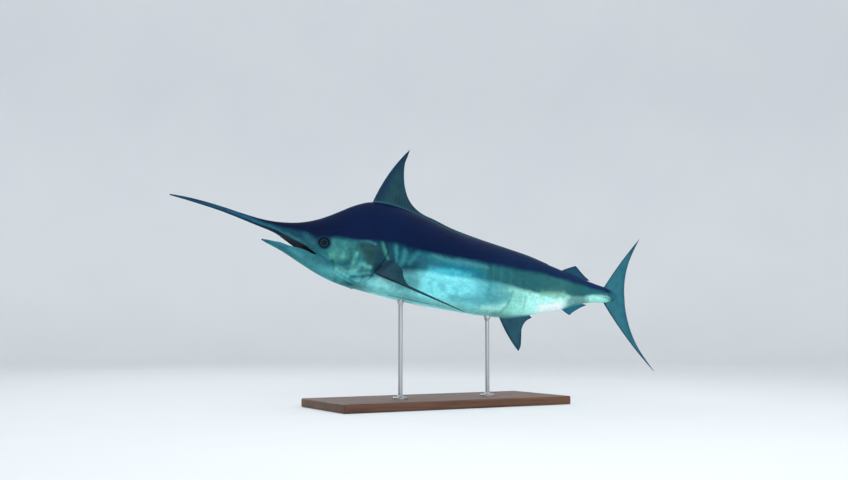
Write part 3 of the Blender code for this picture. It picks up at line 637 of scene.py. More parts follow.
def skin():
    """The whole outside of the fish and the inside of its mouth, as one closed surface."""
    (upper, upper_marks), (lower, lower_marks), roof, floor, throat = skin_points()
    sheets = Sheets()
    over, under = sheets.add(upper, upper_marks), sheets.add(lower, lower_marks)
    corner, joined = len(roof) - 1, len(floor) - 1
    under[joined:, 0], under[joined:, -1] = over[corner:, -1], over[corner:, 0]
    inside, ends = (0.0, 1.0, 1.0), (0.0, 0.0, 1.0)
    roof, floor = sheets.add(roof, inside), sheets.add(floor, inside)
    for strip, sheet in ((roof, over), (floor, under)):
        strip[:, 0], strip[:, -1] = sheet[: len(strip), -1], sheet[: len(strip), 0]
    above, below = [roof[-1]], [floor[-1]]
    for rows in throat:
        for numbers, row in zip((above, below), rows):
            numbers.append(sheets.add(row, inside))
        below[-1][0], below[-1][-1] = above[-1][-1], above[-1][0]
    below[-1] = above[-1][::-1]
    for grid in (over, under, roof, floor, np.array(above), np.array(below)):
        sheets.quads(grid)
    for loop, rows in (
        (np.r_[over[0], roof[0, 1:-1]][::-1], upper[0]),
        (np.r_[under[0], floor[0, 1:-1]][::-1], lower[0]),
        (np.r_[over[-1], under[-1, 1:-1]], upper[-1]),
    ):
        sheets.fan(loop, rows.mean(axis=0), ends)
    return new_piece("marlin_skin", sheets.mesh("marlin_skin", SKIN_MARKS), SKIN_NODES)


# Fins


def rounding(x, width):
    """0 at 0, and up to 1 over a width, as a quarter of a circle."""
    return np.sqrt(1 - (1 - np.clip(x / width, 0, 1)) ** 2)


class Fin:
    """A rayed blade between its root, sunk in the body, and its margin, as part.py has it but finer."""

    def __init__(self, name, root, margin, bow, rays, rows, place, thick, lead, bow_end=1.0, ray_start=0.0):
        self.name, self.rays, self.place = name, rays, place
        shares = np.unique(np.r_[0.0, 0.0008, 0.0025, 0.005, 0.009, np.linspace(0, 1, rays * 8 + 1)])
        heights = np.unique(np.r_[np.linspace(0, 0.985, rows), 0.992, 0.996, 0.9985, 1.0])
        ends = along_curve(pairs(margin), shares)[:, None]
        front, rear = pairs(root)
        v, u = shares[:, None, None], heights[None, :, None]
        start = front * (1 - v) + rear * v
        reach = ends - start
        side = columns(-np.abs(reach[..., 1]), np.copysign(reach[..., 0], reach[..., 1]))
        control = start + reach / 2 + bow * np.clip(1 - v / bow_end, 0, 1) ** 2 * side
        self.p, self.q = np.moveaxis(start * (1 - u) ** 2 + control * 2 * u * (1 - u) + ends * u * u, -1, 0)
        self.v, self.u = v, u = v[..., 0], u[..., 0]
        half = thick * (1 - 0.55 * u) + lead * np.exp(-v / 0.07 * max(1.0, 0.31 / bow_end)) * (1 - 0.75 * u)
        ray = 0.5 - 0.5 * np.cos(2 * math.pi * rays * v)
        half = half + RAY_RIDGE * ease(ray_start, ray_start + 0.2, u) * (1 - 0.55 * u) * (ray**1.5 - 0.35)
        self.half = np.maximum(half, 0.0004) * rounding(v, 0.012) * rounding(1 - u, 0.02) * rounding(1 - v, 0.01)
        self.root = 0.0

    def fairing(self, height, size, reach):
        """Widens the blade towards the body: height is each point's height over the skin, in metres."""
        self.root = fall(height, reach)
        flare = size * np.exp(-np.maximum(height, -0.2 * reach) / reach)
        self.half = self.half + flare * (np.clip(self.v / 0.03, 0, 1) * np.clip((1 - self.v) / 0.02, 0, 1)) ** 0.5
        return self

    def piece(self, nodes):
        """The blade as one closed surface, in place of its nodes."""
        sheets = Sheets()
        marks = columns(self.v * self.rays, self.u, self.v, self.root)
        near, far = (sheets.add(self.place(self.p, self.q, sign * self.half), marks) for sign in (1, -1))
        far[0], far[-1], far[:, -1] = near[0], near[-1], near[:, -1]
        for grid in (near, far[:, ::-1], np.stack([far[:, 0], near[:, 0]])):
            sheets.quads(grid)
        return new_piece(self.name, sheets.mesh(self.name, FIN_MARKS), nodes)


def upright(p, q, offset):
    """Places a fin of the midline."""
    return columns(p, offset / LENGTH, q) * LENGTH


def unit(vector):
    vector = np.asarray(vector, float)
    return vector / np.linalg.norm(vector, axis=-1, keepdims=True)


def turned_blade(root, span, chord_at_root, chord):
    """Places a paired fin: span runs from its root to its tip, and its chord turns from one direction to another."""
    span, start, end = unit(span), unit(chord_at_root), unit(chord)

    def place(p, q, offset):
        share = ease(0.0, PECTORAL_TWIST_END, q)[..., None]
        across = unit(start * (1 - share) + end * share)
        normal = unit(np.cross(span, across))
        return root + (span * q[..., None] + across * p[..., None]) * LENGTH + normal * offset[..., None]

    return place


def mirrored(side):
    """What the left side's points are multiplied with to make either side's."""
    return np.array([1, -1 if side == "right" else 1, 1])


def midline_fin(nodes, name, root, margin, fairing, side, *form, **more):
    """A fin that rises from the back, on side 1, or from the belly, on side -1. form: bow, rays, rows, thick, lead."""
    fin = Fin(f"{name}_blade", root, margin, *form[:3], upright, *form[3:], **more)
    height = side * (fin.q - (back if side > 0 else belly)(fin.p)) * LENGTH
    fin.fairing(height, *fairing).piece(nodes)


def median_fins():
    """Both dorsal fins and both anal fins."""
    midline_fin(
        ("first_dorsal_fin_lobe", "first_dorsal_fin_rear"), "first_dorsal", "262 100, 755 52",
        """360 274, 356 259, 349 237, 348 206, 354 172, 366 147, 384 130, 400 121.5, 440 111.5, 480 101, 560 88,
        650 77.2, 720 67.8, 775 56""",
        (0.005, 0.009), 1, 0.1, 42, 46, 0.002, 0.0036, bow_end=0.31,
    )
    midline_fin(
        ("second_dorsal_fin",), "second_dorsal", "800 38, 868 26", "860 66, 867 60.5, 877 52, 890 42, 904 33.5",
        (0.003, 0.006), 1, 0.04, 7, 22, 0.0014, 0.0022,
    )
    midline_fin(
        ("first_anal_fin",), "first_anal", "628 -85, 712 -75",
        "694 -176.5, 699 -166, 701 -142, 702 -118, 712 -100, 730 -87.5",
        (0.0045, 0.008), -1, 0.1, 14, 36, 0.0016, 0.0032,
    )
    midline_fin(
        ("second_anal_fin",), "second_anal", "806 -45, 858 -27", "842 -66.5, 850 -59, 860 -52, 874 -43, 893 -33.5",
        (0.003, 0.006), -1, 0.08, 7, 22, 0.0014, 0.0022,
    )


def tail_fins():
    """The two lobes of the tail fin, which meet on the midline behind the stalk."""
    for node, sign, bow, tip in (
        ("tail_fin_upper", 1, 0.03, "1074 179, 1060 155, 1045 128"),
        ("tail_fin_lower", -1, 0.07, "1094 187, 1071 160, 1048 130"),
    ):
        place = lambda p, q, offset, sign=sign: upright(p, sign * q, offset)
        margin = tip + ", 1031 98, 1021 68, 1015 38, 1013 18, 1013 -1.6"
        form = (18, 46, place, 0.0022, 0.005)
        lobe = Fin(node.replace("fin", "blade"), "938 6, 962 -1.6", margin, bow, *form, ray_start=0.25)
        near = np.hypot((lobe.p - 0.955) / 1.6, lobe.q) * LENGTH
        lobe.fairing(near - 0.03, 0.005, 0.014).piece((node,))


def pectoral_fin(side, pose):
    """A pectoral fin of the left flank, or of the right one by its mirror image."""
    depth, sunk = pose["sunk"]
    root, root_rear = (flank(*point, out=-depth) for point in pose["root"])
    place = turned_blade(root, pose["span"], root_rear - root, pose["chord"])
    blade = Fin(
        f"pectoral_blade_{side}", f"-2 {-1000 * sunk}, 42 {-1000 * sunk}",
        "30 213, 34.5 185, 38.5 150, 41.5 110, 43.5 70, 44.5 35, 43.5 5",
        0.1, 20, 56, lambda *spot: place(*spot) * mirrored(side), 0.0018, 0.0032,
    )
    blade.fairing(blade.q * LENGTH, 0.0055, 0.022).piece((f"pectoral_fin_{side}", f"pectoral_fin_base_{side}"))


def pelvic_fin(side):
    laid = turned_blade(flank(*PELVIC_ROOT), PELVIC_SPAN, PELVIC_CHORD, PELVIC_CHORD)

    def place(p, q, offset):
        """The blade starts inside the belly and rises out of it along its first few centimetres."""
        inside = PELVIC_SUNK * (1 - ease(-0.01, 0.02, q - 0.011 * ((p - 0.0015) / 0.0035) ** 2))
        return (laid(p, q, offset) + inside[..., None] * PELVIC_INWARD) * mirrored(side)

    root, margin = "-2 -14, 5 -14", "2 135, 3.5 105, 4.7 60, 5 20, 5 -2"
    blade = Fin(f"pelvic_blade_{side}", root, margin, 0.0, 2, 60, place, 0.0014, 0.0006)
    blade.piece((f"pelvic_fin_{side}",))


# Eyes


def eye(side):
    """An eyeball with the bulge of its cornea, set square to the cheek."""
    fore, aft = flank(EYE[0] - 0.01, EYE[1]), flank(EYE[0] + 0.01, EYE[1])
    under, over = flank(EYE[0], EYE[1] - 0.01), flank(EYE[0], EYE[1] + 0.01)
    out, across = unit(np.cross(aft - fore, over - under)), unit(aft - fore)
    up = -np.cross(across, out)
    tilt = np.linspace(0, math.radians(125), EYE_RINGS + 1)[1:, None]
    turn = np.linspace(0, 2 * math.pi, EYE_POINTS, endpoint=False)[None, :]
    height = (EYE_DEPTH * np.cos(tilt) + CORNEA * hill(tilt, 0.0, 0.62))[..., None]
    aside = (EYE_RADIUS * np.sin(tilt))[..., None]
    centre = flank(*EYE) + out * (EYE_BULGE - 0.0012 - EYE_DEPTH)
    ring = centre + out * height + aside * (across * np.cos(turn)[..., None] + up * np.sin(turn)[..., None])
    gaze = np.sin(tilt) + np.maximum(0, tilt - math.pi / 2)
    sheets = Sheets()
    numbers = sheets.add(ring * mirrored(side), columns(gaze, np.cos(turn), np.sin(turn)))
    step = 1 if side == "left" else -1
    sheets.quads(np.concatenate([numbers, numbers[:, :1]], axis=1)[::step])
    sheets.fan(numbers[0][::-step], (centre + out * (EYE_DEPTH + CORNEA)) * mirrored(side), (0.0, 0.0, 0.0))
    sheets.fan(numbers[-1][::step], ring[-1].mean(axis=0) * mirrored(side), (1.5, 0.0, 0.0))
    return new_piece(f"eyeball_{side}", sheets.mesh(f"eyeball_{side}", EYE_MARKS), (f"eye_{side}",))


# Colours


def srgb(red, green, blue):
    """A colour given as a screen shows it, 0 to 255, as the shader wants it."""
    shown = np.array((red, green, blue)) / 255
    linear = np.where(shown <= 0.04045, shown / 12.92, ((shown + 0.055) / 1.055) ** 2.4)
    return (*linear.tolist(), 1.0)


# Tones as a screen shows them
# belly and chest are the silvery underside, made brighter as painted light where the underside lies in shade
TONES = {name: srgb(*map(int, shown)) for name, *shown in map(str.split, """
    navy_head 0 13 42, navy 0 20 56, navy_rear 4 38 76, root 34 96 106, bill 26 76 102, bill_tip 30 70 100,
    snout 14 58 76, cheek 34 102 108, bar_gap 12 60 76, teal 38 120 134, bronze 36 92 98, bronze_rear 48 104 106,
    jaw_tip 24 72 100, jaw 46 114 126, throat 72 154 160, chest 134 218 220, silver 132 234 240, silver_grey 80 162 172,
    cream 140 216 202, white 250 254 250, cream_bright 180 252 240, grey_green 104 160 156, slate 44 102 112,
    lit 48 110 110, green 84 158 142, shade 36 88 96, pale_green 84 156 146, brown 30 62 64, arc 66 122 134,
    bar_green 58 130 116, bar 50 134 140, low_cheek 100 178 176, fold 24 70 80, axil 12 40 58, bright 152 218 216,
    jaw_grey 40 90 104, jaw_lit 76 150 154, chin 56 132 138, streak 74 136 138, deep 20 104 130, grey_blue 34 88 108,
    cyan 72 188 206, band 124 222 228, belly 156 255 255, line 70 128 128, gold 112 168 146, speck 52 146 162,
    stalk 176 252 238, chest_grey 96 172 178""".split(","))}
# The tones of the back, of the band below it and of the silvery flank, along the fish
BACK_TONES = "0 navy_head, 200 navy, 500 navy, 850 navy_rear, 955 navy_rear, 980 root"
BAND_TONES = """
    -205 bill_tip, -100 bill, 0 bill, 45 snout, 90 snout, 140 cheek, 220 cheek, 270 bar_gap, 360 bar_gap, 410 teal,
    530 teal, 575 bronze, 720 bronze, 800 bronze_rear, 860 bronze, 950 root"""
SILVER_TONES = """
    -205 bill_tip, -100 bill, 0 bill, 6 jaw_tip, 30 jaw, 100 jaw, 160 throat, 220 throat, 290 chest, 335 chest_grey,
    372 chest_grey, 395 silver, 500 silver, 580 silver_grey, 640 cream, 720 cream_bright, 812 cream_bright,
    840 grey_green, 880 grey_green, 905 cream, 955 cream, 972 root"""
# The heights where the dark back and the silvery flank begin, and how soft these edges are
dark_edge = curve_through(pairs("""
    -205 44, -140 41.5, -90 36.8, -45 30.6, 0 22.2, 40 16.5, 80 15, 100 14, 118 6, 135 1, 148 5, 160 8, 200 9.8, 300 17,
    376 12, 450 10.5, 532 11, 634 16, 700 18, 781 19, 860 13, 920 7, 1000 4"""))
silver_edge = curve_through(pairs("""
    -205 0, 10 -6, 60 -10, 90 -19, 110 -30, 128 -38, 160 -54, 200 -60, 270 -60, 320 -46, 350 -40, 390 -33, 520 -31,
    600 -30, 660 -31, 740 -30, 800 -22, 860 -19, 900 -12, 950 -6.5, 1000 -4"""))
dark_soft = curve_through(pairs("-205 3, 50 5, 160 8, 280 6, 400 9, 600 10, 850 7, 1000 5"))
silver_soft = curve_through(pairs("-205 4, 150 8, 300 13, 380 10, 460 6, 580 9, 700 6, 1000 4"))
# Strokes of paint in the side view, one over another: each one's tone, strength and half width: its line's points
# The axil strokes paint the dark of the pectoral fin's base with painted shade in the axil behind it; the fold strokes
# are painted shade along the throat's folds
STROKES = """
    slate 0.9 4.5: -20 17, 30 11, 60 1, 85 -8, 103 -16
    jaw_grey 0.55 5.5: 98 9, 113 -9, 131 -24, 155 -37
    navy_head 0.85 12: 124 4, 139 -5, 152 3
    lit 0.95 15: 163 -1, 185 -5, 199 -1
    lit 0.9 12: 166 -20, 186 -21, 204 -17
    green 0.85 8.5: 164 -33, 186 -33
    shade 0.9 8.5: 181 -53, 199 -45
    brown 0.95 12.5: 230 -10, 243 -17, 256 -30
    brown 0.9 8: 227 0, 252 -1, 266 -6
    pale_green 0.9 4.6: 217 -20, 211 -42
    arc 0.85 3: 216 13, 238 14, 258 9
    bar_green 0.9 5: 277 18, 281 1, 292 -17
    bar 0.8 5.6: 313 17, 315 -4, 315 -20
    bar 0.72 7.8: 337 4, 333 -14, 323 -34
    bar 0.62 7.4: 369 8, 360 -4, 350 -20
    pale_green 0.9 5: 229 -41, 237 -40
    pale_green 0.95 5.5: 244 -44, 253 -43
    low_cheek 0.85 8: 178 -63, 202 -61, 224 -55
    pale_green 0.7 4: 245 -59, 252 -57
    fold 0.9 3.8: 217 -71, 240 -67, 262 -60
    fold 0.42 3: 203 -83, 232 -82
    axil 1 15: 281 -44, 298 -41
    axil 1 10: 290 -50, 317 -48
    axil 0.9 7: 266 -47, 277 -52
    bright 0.95 6.8: 284 -69, 300 -75, 328 -82
    jaw_lit 0.8 6: 70 -30, 107 -45, 135 -59, 165 -73
    jaw_grey 0.75 8.5: 112 -39, 138 -46, 158 -51
    chin 0.7 5.5: 100 -54, 124 -65, 160 -80
    streak 0.75 5.5: 408 9, 436 7, 500 6, 560 4
    deep 0.85 5.5: 430 -5, 453 -8, 516 -10, 548 -18
    grey_blue 0.85 11: 374 -4, 394 -11, 425 -15
    cyan 0.5 8.5: 404 -26, 440 -24, 470 -23
    cyan 0.75 6.5: 424 -25, 470 -22, 512 -24
    band 0.95 7.8: 392 -48, 457 -46, 526 -44
    silver_grey 0.95 12: 474 -83, 550 -78, 600 -62, 632 -54
    belly 0.95 14: 290 -90, 350 -94, 450 -99, 590 -101
    cream_bright 0.9 9: 572 -92, 600 -87, 626 -80
    silver_grey 0.7 5.5: 585 -36, 622 -33
    cream 0.9 14: 658 -58, 670 -55
    cream_bright 0.95 15: 706 -55, 726 -52
    line 0.5 4.4: 643 -42, 641 -58, 636 -74, 626 -90
    line 0.38 3.6: 686 -46, 690 -60, 691 -76
    white 1 13.5: 748 -68, 775 -61, 806 -50
    gold 0.8 8.5: 736 -30, 780 -27, 812 -22
    grey_green 0.85 9: 836 -36, 858 -30, 884 -24
    stalk 0.55 6: 886 -18.5, 900 -17.5
    stalk 0.95 7.2: 900 -17.5, 918 -15.5, 946 -12
    root 0.95 15: 975 0, 995 0"""
BAR_SPACING, BARS = 0.0265, (0.384, 0.8)
LATTICE_SIZE = 48
LATTICE = np.random.default_rng(7).uniform(-1.0, 1.0, (LATTICE_SIZE,) * 3)


def cloud(points, scale, shift=0.0):
    """Smooth noise from -1 to 1 at points, the same in every run. scale is one number or three."""
    spots = points * np.asarray(scale, float) + shift
    cell = np.floor(spots).astype(int)
    part = spots - cell
    part = part * part * (3 - 2 * part)
    total = np.zeros(points.shape[:-1])
    for corner in np.ndindex(2, 2, 2):
        weight = np.prod(np.where(corner, part, 1 - part), axis=-1)
        i, j, k = np.moveaxis((cell + corner) % LATTICE_SIZE, -1, 0)
        total += weight * LATTICE[i, j, k]
    return total


def tone(name):
    return np.array(TONES[name][:3])


def tones_along(x, stops):
    """Tones along the fish, from a text of places in thousandths and tones."""
    places, names = zip(*map(str.split, stops.split(",")))
    places, tones = np.array(places, float) / 1000, np.array([tone(name) for name in names])
    return columns(*(np.interp(x, places, tones[:, k]) for k in range(3)))


def blend(under, colour, share):
    """A colour over another one, as far as share says."""
    return under + (colour - under) * np.clip(share, 0.0, 1.0)[..., None]


def strokes():
    """Each stroke's tone, strength, half width and points."""
    for line in STROKES.strip().splitlines():
        start, run = line.split(":")
        name, strength, width = start.split()
        yield name, float(strength), float(width) / 1000, pairs(run)


def brushed(fish):
    """The colour of each point of the skin, and how silvery it is: bands of the body, then strokes, all ragged."""
    slow, quick = cloud(fish, 30.0), cloud(fish, 90.0, 5.3)
    x = fish[:, 0] + 0.004 * slow + 0.0016 * quick
    z = fish[:, 2] + 0.0022 * cloud(fish, (15.0, 30.0, 30.0), 9.1) + 0.0014 * cloud(fish, (55.0, 100.0, 100.0), 12.7)
    fine = cloud(fish, (110.0, 210.0, 210.0), 3.9)
    grain = 0.34 * quick + 0.34 * fine
    silvery = 1 - ease(-1, 1, (z - silver_edge(x)) / silver_soft(x))
    dark = ease(-1, 1, (z - dark_edge(x)) / dark_soft(x) + 0.25 * grain)
    bars = 0.5 - 0.5 * np.cos(2 * math.pi * (x - BARS[0]) / BAR_SPACING)
    fade = ease(BARS[0], BARS[0] + 0.02, x) * (1 - ease(0.42, BARS[1], x))
    band = blend(tones_along(x, BAND_TONES), tone("bar"), 0.34 * ease(0.55, 0.9, bars) * fade)
    colour = blend(band, tones_along(x, SILVER_TONES), silvery)
    for name, strength, width, points in strokes():
        near = np.flatnonzero((x > points[0, 0] - 0.08) & (x < points[-1, 0] + 0.08))
        gap, _ = distance_to(points, x[near], z[near])
        share = strength * np.exp(-np.maximum(gap / width + grain[near], 0.0) ** 2.1) * (0.86 + 0.14 * fine[near])
        colour[near] = blend(colour[near], tone(name), share)
    specks = ease(0.05, 0.55, cloud(fish, (75.0, 110.0, 110.0), 21.4)) * hill(x, 0.43, 0.11) * hill(z, -0.064, 0.018)
    colour = blend(colour, tone("speck"), 0.36 * specks)
    cheek = hill(x, 0.2, 0.085) * (1 - dark)
    dapple = cloud(fish, (75.0, 90.0, 60.0), 31.0) + 0.7 * cloud(fish, (160.0, 150.0, 110.0), 8.3)
    colour = colour * (1 + (0.07 + 0.24 * cheek) * dapple + 0.08 * slow + 0.06 * fine)[:, None]
    return blend(colour, tones_along(x, BACK_TONES) * (1 + 0.12 * slow)[:, None], dark), silvery * (1 - dark)


def paint_skin(mesh):
    """Writes the colours onto the skin's points."""
    fish = np.empty(len(mesh.vertices) * 3, np.float32)
    mesh.attributes["fish"].data.foreach_get("vector", fish)
    colour, silvery = brushed(fish.reshape(-1, 3).astype(float))
    write_layer(mesh, "paint", "FLOAT_COLOR", np.c_[np.clip(colour, 0, 1), np.ones(len(colour))])
    write_layer(mesh, "silvery", "FLOAT", silvery)


# Materials


class Paint:
    """A short way to write a material's nodes. Every method gives the socket of what it makes."""

    def __init__(self, name, **fixed):
        self.material = bpy.data.materials.new(name)
        self.material.use_nodes = True
        self.tree = self.material.node_tree
        self.shader = self.tree.nodes["Principled BSDF"]
        for socket, value in fixed.items():
            self.shader.inputs[socket.replace("_", " ")].default_value = value

    def node(self, kind, inputs, output=0, **settings):
        made = self.tree.nodes.new("ShaderNode" + kind)
        for setting, value in settings.items():
            setattr(made, setting, value)
        for key, value in inputs.items():
            if isinstance(value, bpy.types.NodeSocket):
                self.tree.links.new(value, made.inputs[key])
            else:
                made.inputs[key].default_value = value
        return made.outputs[output]

    def attribute(self, name, output="Fac"):
        return self.node("Attribute", {}, output, attribute_name=name)

    def place(self):
        return self.node("TexCoord", {}, "Object")

    def math(self, operation, a, b=0.0):
        return self.node("Math", {0: a, 1: b, 2: 0.0}, operation=operation)

    def plus(self, a, b):
        return self.math("ADD", a, b)

    def times(self, a, b):
        return self.math("MULTIPLY", a, b)

    def scaled(self, vector, scale):
        return self.node("VectorMath", {0: vector, 1: scale, 2: (0.0, 0.0, 0.0)}, operation="MULTIPLY_ADD")

    def noise(self, vector, scale, detail=3.0, roughness=0.5, distortion=0.0):
        inputs = {"Vector": vector, "Scale": scale, "Detail": detail, "Roughness": roughness, "Distortion": distortion}
        return self.node("TexNoise", inputs, "Fac")

    def cells(self, vector, scale):
        return self.node("TexVoronoi", {"Vector": vector, "Scale": scale}, "Distance", feature="F1")

    def step(self, value, low, high, start=0.0, end=1.0):
        inputs = {"Value": value, "From Min": low, "From Max": high, "To Min": start, "To Max": end}
        return self.node("MapRange", inputs, interpolation_type="SMOOTHSTEP")

    def mix(self, share, a, b):
        return self.node("Mix", {0: share, 6: a, 7: b}, 2, data_type="RGBA", clamp_factor=True)

    def darken(self, share, colour, by):
        """The colour multiplied by another one, as far as share says."""
        return self.node("Mix", {0: share, 6: colour, 7: (*by, 1.0)}, 2, data_type="RGBA", blend_type="MULTIPLY")

    def patches(self, colour, value, low, high, share, by):
        """The colour darkened, as far as share says, where a value is high."""
        return self.darken(self.step(value, low, high, 0.0, share), colour, by)

    def bump(self, height, strength, distance, normal=None):
        inputs = {"Height": height, "Strength": strength, "Distance": distance}
        if normal:
            inputs["Normal"] = normal
        return self.node("Bump", inputs)

    def finish(self, colour, roughness=None, normal=None, **others):
        sockets = {"Base Color": colour, "Roughness": roughness, "Normal": normal, **others}
        for name, value in sockets.items():
            if value is not None:
                self.tree.links.new(value, self.shader.inputs[name])
        return self.material


# The third of these is painted shade, deep in the mouth and in the skin's creases and pits
MOUTH_SKIN, PAINTED_SHADE, BILL_UNDER = srgb(4, 36, 64), srgb(0, 12, 32), srgb(10, 46, 74)


def skin_material():
    """The painted tones with streaks, small mottling and the fine elongated scales of a marlin, and painted shade in
    the skin's creases and deep in the mouth.
    """
    paint = Paint("marlin_skin", Coat_Weight=0.04, Coat_Roughness=0.14, Specular_IOR_Level=0.04)
    fish, colour = paint.attribute("fish", "Vector"), paint.attribute("paint", "Color")
    x = paint.node("SeparateXYZ", {0: fish})
    silvery, mouth = paint.attribute("silvery"), paint.attribute("mouth")
    streaks = paint.noise(paint.scaled(fish, (38.0, 190.0, 190.0)), 1.0, 5.0, 0.62)
    mottle = paint.noise(fish, 120.0, 4.0, 0.6)
    scales = paint.cells(paint.scaled(fish, (1.0, 3.4, 3.4)), 150.0)
    colour = paint.patches(colour, streaks, 0.46, 0.74, 0.42, (0.6, 0.66, 0.7))
    colour = paint.patches(colour, mottle, 0.5, 0.72, 0.4, (1.42, 1.38, 1.32))
    colour = paint.patches(colour, scales, 0.3, 0.62, 0.3, (0.66, 0.7, 0.74))
    ring = paint.step(paint.plus(paint.attribute("orbit"), paint.times(streaks, 0.006)), 0.052, 0.034, 0.0, 0.85)
    colour = paint.mix(ring, colour, TONES["axil"])
    # Painted shade where the dark mark says: creases, pits, under edges and along the keels
    colour = paint.mix(paint.times(paint.attribute("dark"), 0.62), colour, PAINTED_SHADE)
    inside = paint.mix(paint.step(x, 0.0, 0.05), BILL_UNDER, MOUTH_SKIN)
    # Painted shade, deeper towards the back of the mouth
    inside = paint.mix(paint.step(x, 0.055, 0.115), inside, PAINTED_SHADE)
    inside = paint.patches(inside, mottle, 0.35, 0.65, 0.5, (0.6, 0.6, 0.62))
    colour = paint.mix(mouth, colour, inside)
    normal = paint.bump(streaks, 0.22, 0.0012)
    normal = paint.bump(scales, 0.25, 0.001, normal)
    teeth = paint.times(paint.cells(fish, 1300.0), paint.times(mouth, paint.step(x, 0.11, 0.08)))
    normal = paint.bump(teeth, 0.6, 0.0012, normal)
    rough = paint.plus(paint.step(silvery, 0.0, 1.0, 0.54, 0.33), paint.step(streaks, 0.3, 0.7, -0.04, 0.06))
    metal = paint.times(paint.step(silvery, 0.0, 1.0, 0.0, 0.4), paint.math("SUBTRACT", 1.0, mouth))
    return paint.finish(colour, rough, normal, Metallic=metal)


def fin_material(name, lead_end, membrane, ray, lead, base):
    """Rays over a darker membrane, a dark leading edge, and the body's tone at the root."""
    paint = Paint(name, Coat_Weight=0.05, Coat_Roughness=0.18, Specular_IOR_Level=0.1)
    fish = paint.attribute("fish", "Vector")
    cloudy = paint.noise(fish, 26.0, 5.0, 0.62)
    fine = paint.noise(fish, 260.0, 4.0, 0.62)
    wave = paint.math("COSINE", paint.times(paint.attribute("ray"), 2 * math.pi))
    on_ray = paint.step(wave, 0.55, -0.55)
    reach, chord = paint.attribute("reach"), paint.attribute("chord")
    skin = paint.mix(paint.step(cloudy, 0.34, 0.66), membrane, ray)
    colour = paint.mix(paint.times(on_ray, 0.5), skin, ray)
    colour = paint.patches(colour, cloudy, 0.5, 0.7, 0.55, (0.62, 0.66, 0.72))
    joints = paint.math("SINE", paint.times(reach, 420.0))
    joints = paint.times(paint.step(joints, 0.75, 1.0), paint.times(on_ray, 0.3))
    colour = paint.darken(joints, colour, (0.45, 0.45, 0.48))
    colour = paint.patches(colour, fine, 0.42, 0.72, 0.45, (0.62, 0.64, 0.66))
    edge = paint.plus(chord, paint.times(cloudy, 0.4 * lead_end))
    colour = paint.mix(paint.step(edge, lead_end, 0.2 * lead_end), colour, lead)
    colour = paint.mix(paint.step(reach, 0.78, 1.0, 0.0, 0.5), colour, lead)
    colour = paint.mix(paint.step(paint.attribute("root"), 0.2, 0.9), colour, base)
    height = paint.plus(paint.times(on_ray, 0.6), fine)
    rough = paint.step(cloudy, 0.2, 0.8, 0.4, 0.6)
    return paint.finish(colour, rough, paint.bump(height, 0.3, 0.0012))


def eye_material():
    """A dark blue-grey iris with fine streaks, a thin pale ring and a black pupil."""
    paint = Paint("marlin_eye", Roughness=0.18, Coat_Weight=0.11, Coat_Roughness=0.02, Specular_IOR_Level=0.02)
    gaze = paint.attribute("gaze")
    around = paint.node("CombineXYZ", {0: paint.attribute("around_x"), 1: paint.attribute("around_y"), 2: gaze})
    streaks = paint.noise(paint.scaled(around, (9.0, 9.0, 2.0)), 2.0, 5.0, 0.65)
    iris = paint.mix(paint.step(streaks, 0.3, 0.7), srgb(8, 24, 38), srgb(28, 58, 74))
    iris = paint.mix(paint.step(gaze, 0.585, 0.535, 0.0, 0.45), iris, srgb(52, 82, 94))
    iris = paint.mix(paint.step(gaze, 0.7, 0.86), iris, srgb(10, 16, 28))
    pupil = paint.step(paint.plus(gaze, paint.times(streaks, 0.03)), 0.535, 0.505)
    return paint.finish(paint.mix(pupil, iris, (0.0, 0.0025, 0.006, 1.0)))


def wood_material():
    paint = Paint("stand_wood_finish", Coat_Weight=0.1, Coat_Roughness=0.3, Specular_IOR_Level=0.35)
    place = paint.place()
    slow = paint.noise(paint.scaled(place, (0.35, 7.0, 7.0)), 1.3, 3.0, 0.5, 0.25)
    rings = paint.math("SINE", paint.times(slow, 85.0))
    pores = paint.noise(paint.scaled(place, (7.0, 420.0, 420.0)), 1.0, 4.0, 0.65)
    stain = paint.noise(paint.scaled(place, (1.2, 9.0, 9.0)), 1.0, 4.0, 0.6)
    colour = paint.mix(paint.step(stain, 0.3, 0.7), srgb(78, 48, 32), srgb(104, 68, 46))
    colour = paint.patches(colour, rings, 0.0, 1.0, 0.55, (0.55, 0.5, 0.46))
    colour = paint.patches(colour, pores, 0.5, 0.72, 0.6, (0.42, 0.36, 0.32))
    rough = paint.step(pores, 0.3, 0.8, 0.42, 0.6)
    return paint.finish(colour, rough, paint.bump(pores, 0.18, 0.0006))


def steel_material():
    paint = Paint("stand_steel_finish", Metallic=1.0)
    place = paint.place()
    grain = paint.noise(paint.scaled(place, (60.0, 60.0, 1800.0)), 1.0, 4.0, 0.7)
    smears = paint.noise(place, 22.0, 3.0, 0.5)
    colour = paint.mix(grain, srgb(150, 152, 154), srgb(198, 200, 202))
    share = paint.plus(paint.times(grain, 0.6), paint.times(smears, 0.4))
    return paint.finish(colour, paint.step(share, 0.3, 0.7, 0.24, 0.42), paint.bump(grain, 0.1, 0.0003))


def dress(piece, material):
    piece.data.materials.clear()
    piece.data.materials.append(material)


# Studio

LAMP_AIM, LAMP_SPREAD_DEG = Vector((0.0, 0.0, 0.85)), 110.0
LAMPS = (
    ("key", (-2.8, -5.8, 3.3), 3.6, 71.0, (1.0, 0.99, 0.97)),
    ("low_fill", (1.4, -6.8, 2.2), 4.0, 33.0, (0.93, 0.98, 1.0)),
    ("right_fill", (-0.4, 7.0, 4.2), 4.6, 28.0, (0.95, 0.98, 1.0)),
)
SKY, SKY_STRENGTH = (0.94, 0.97, 1.0, 1.0), 1.08


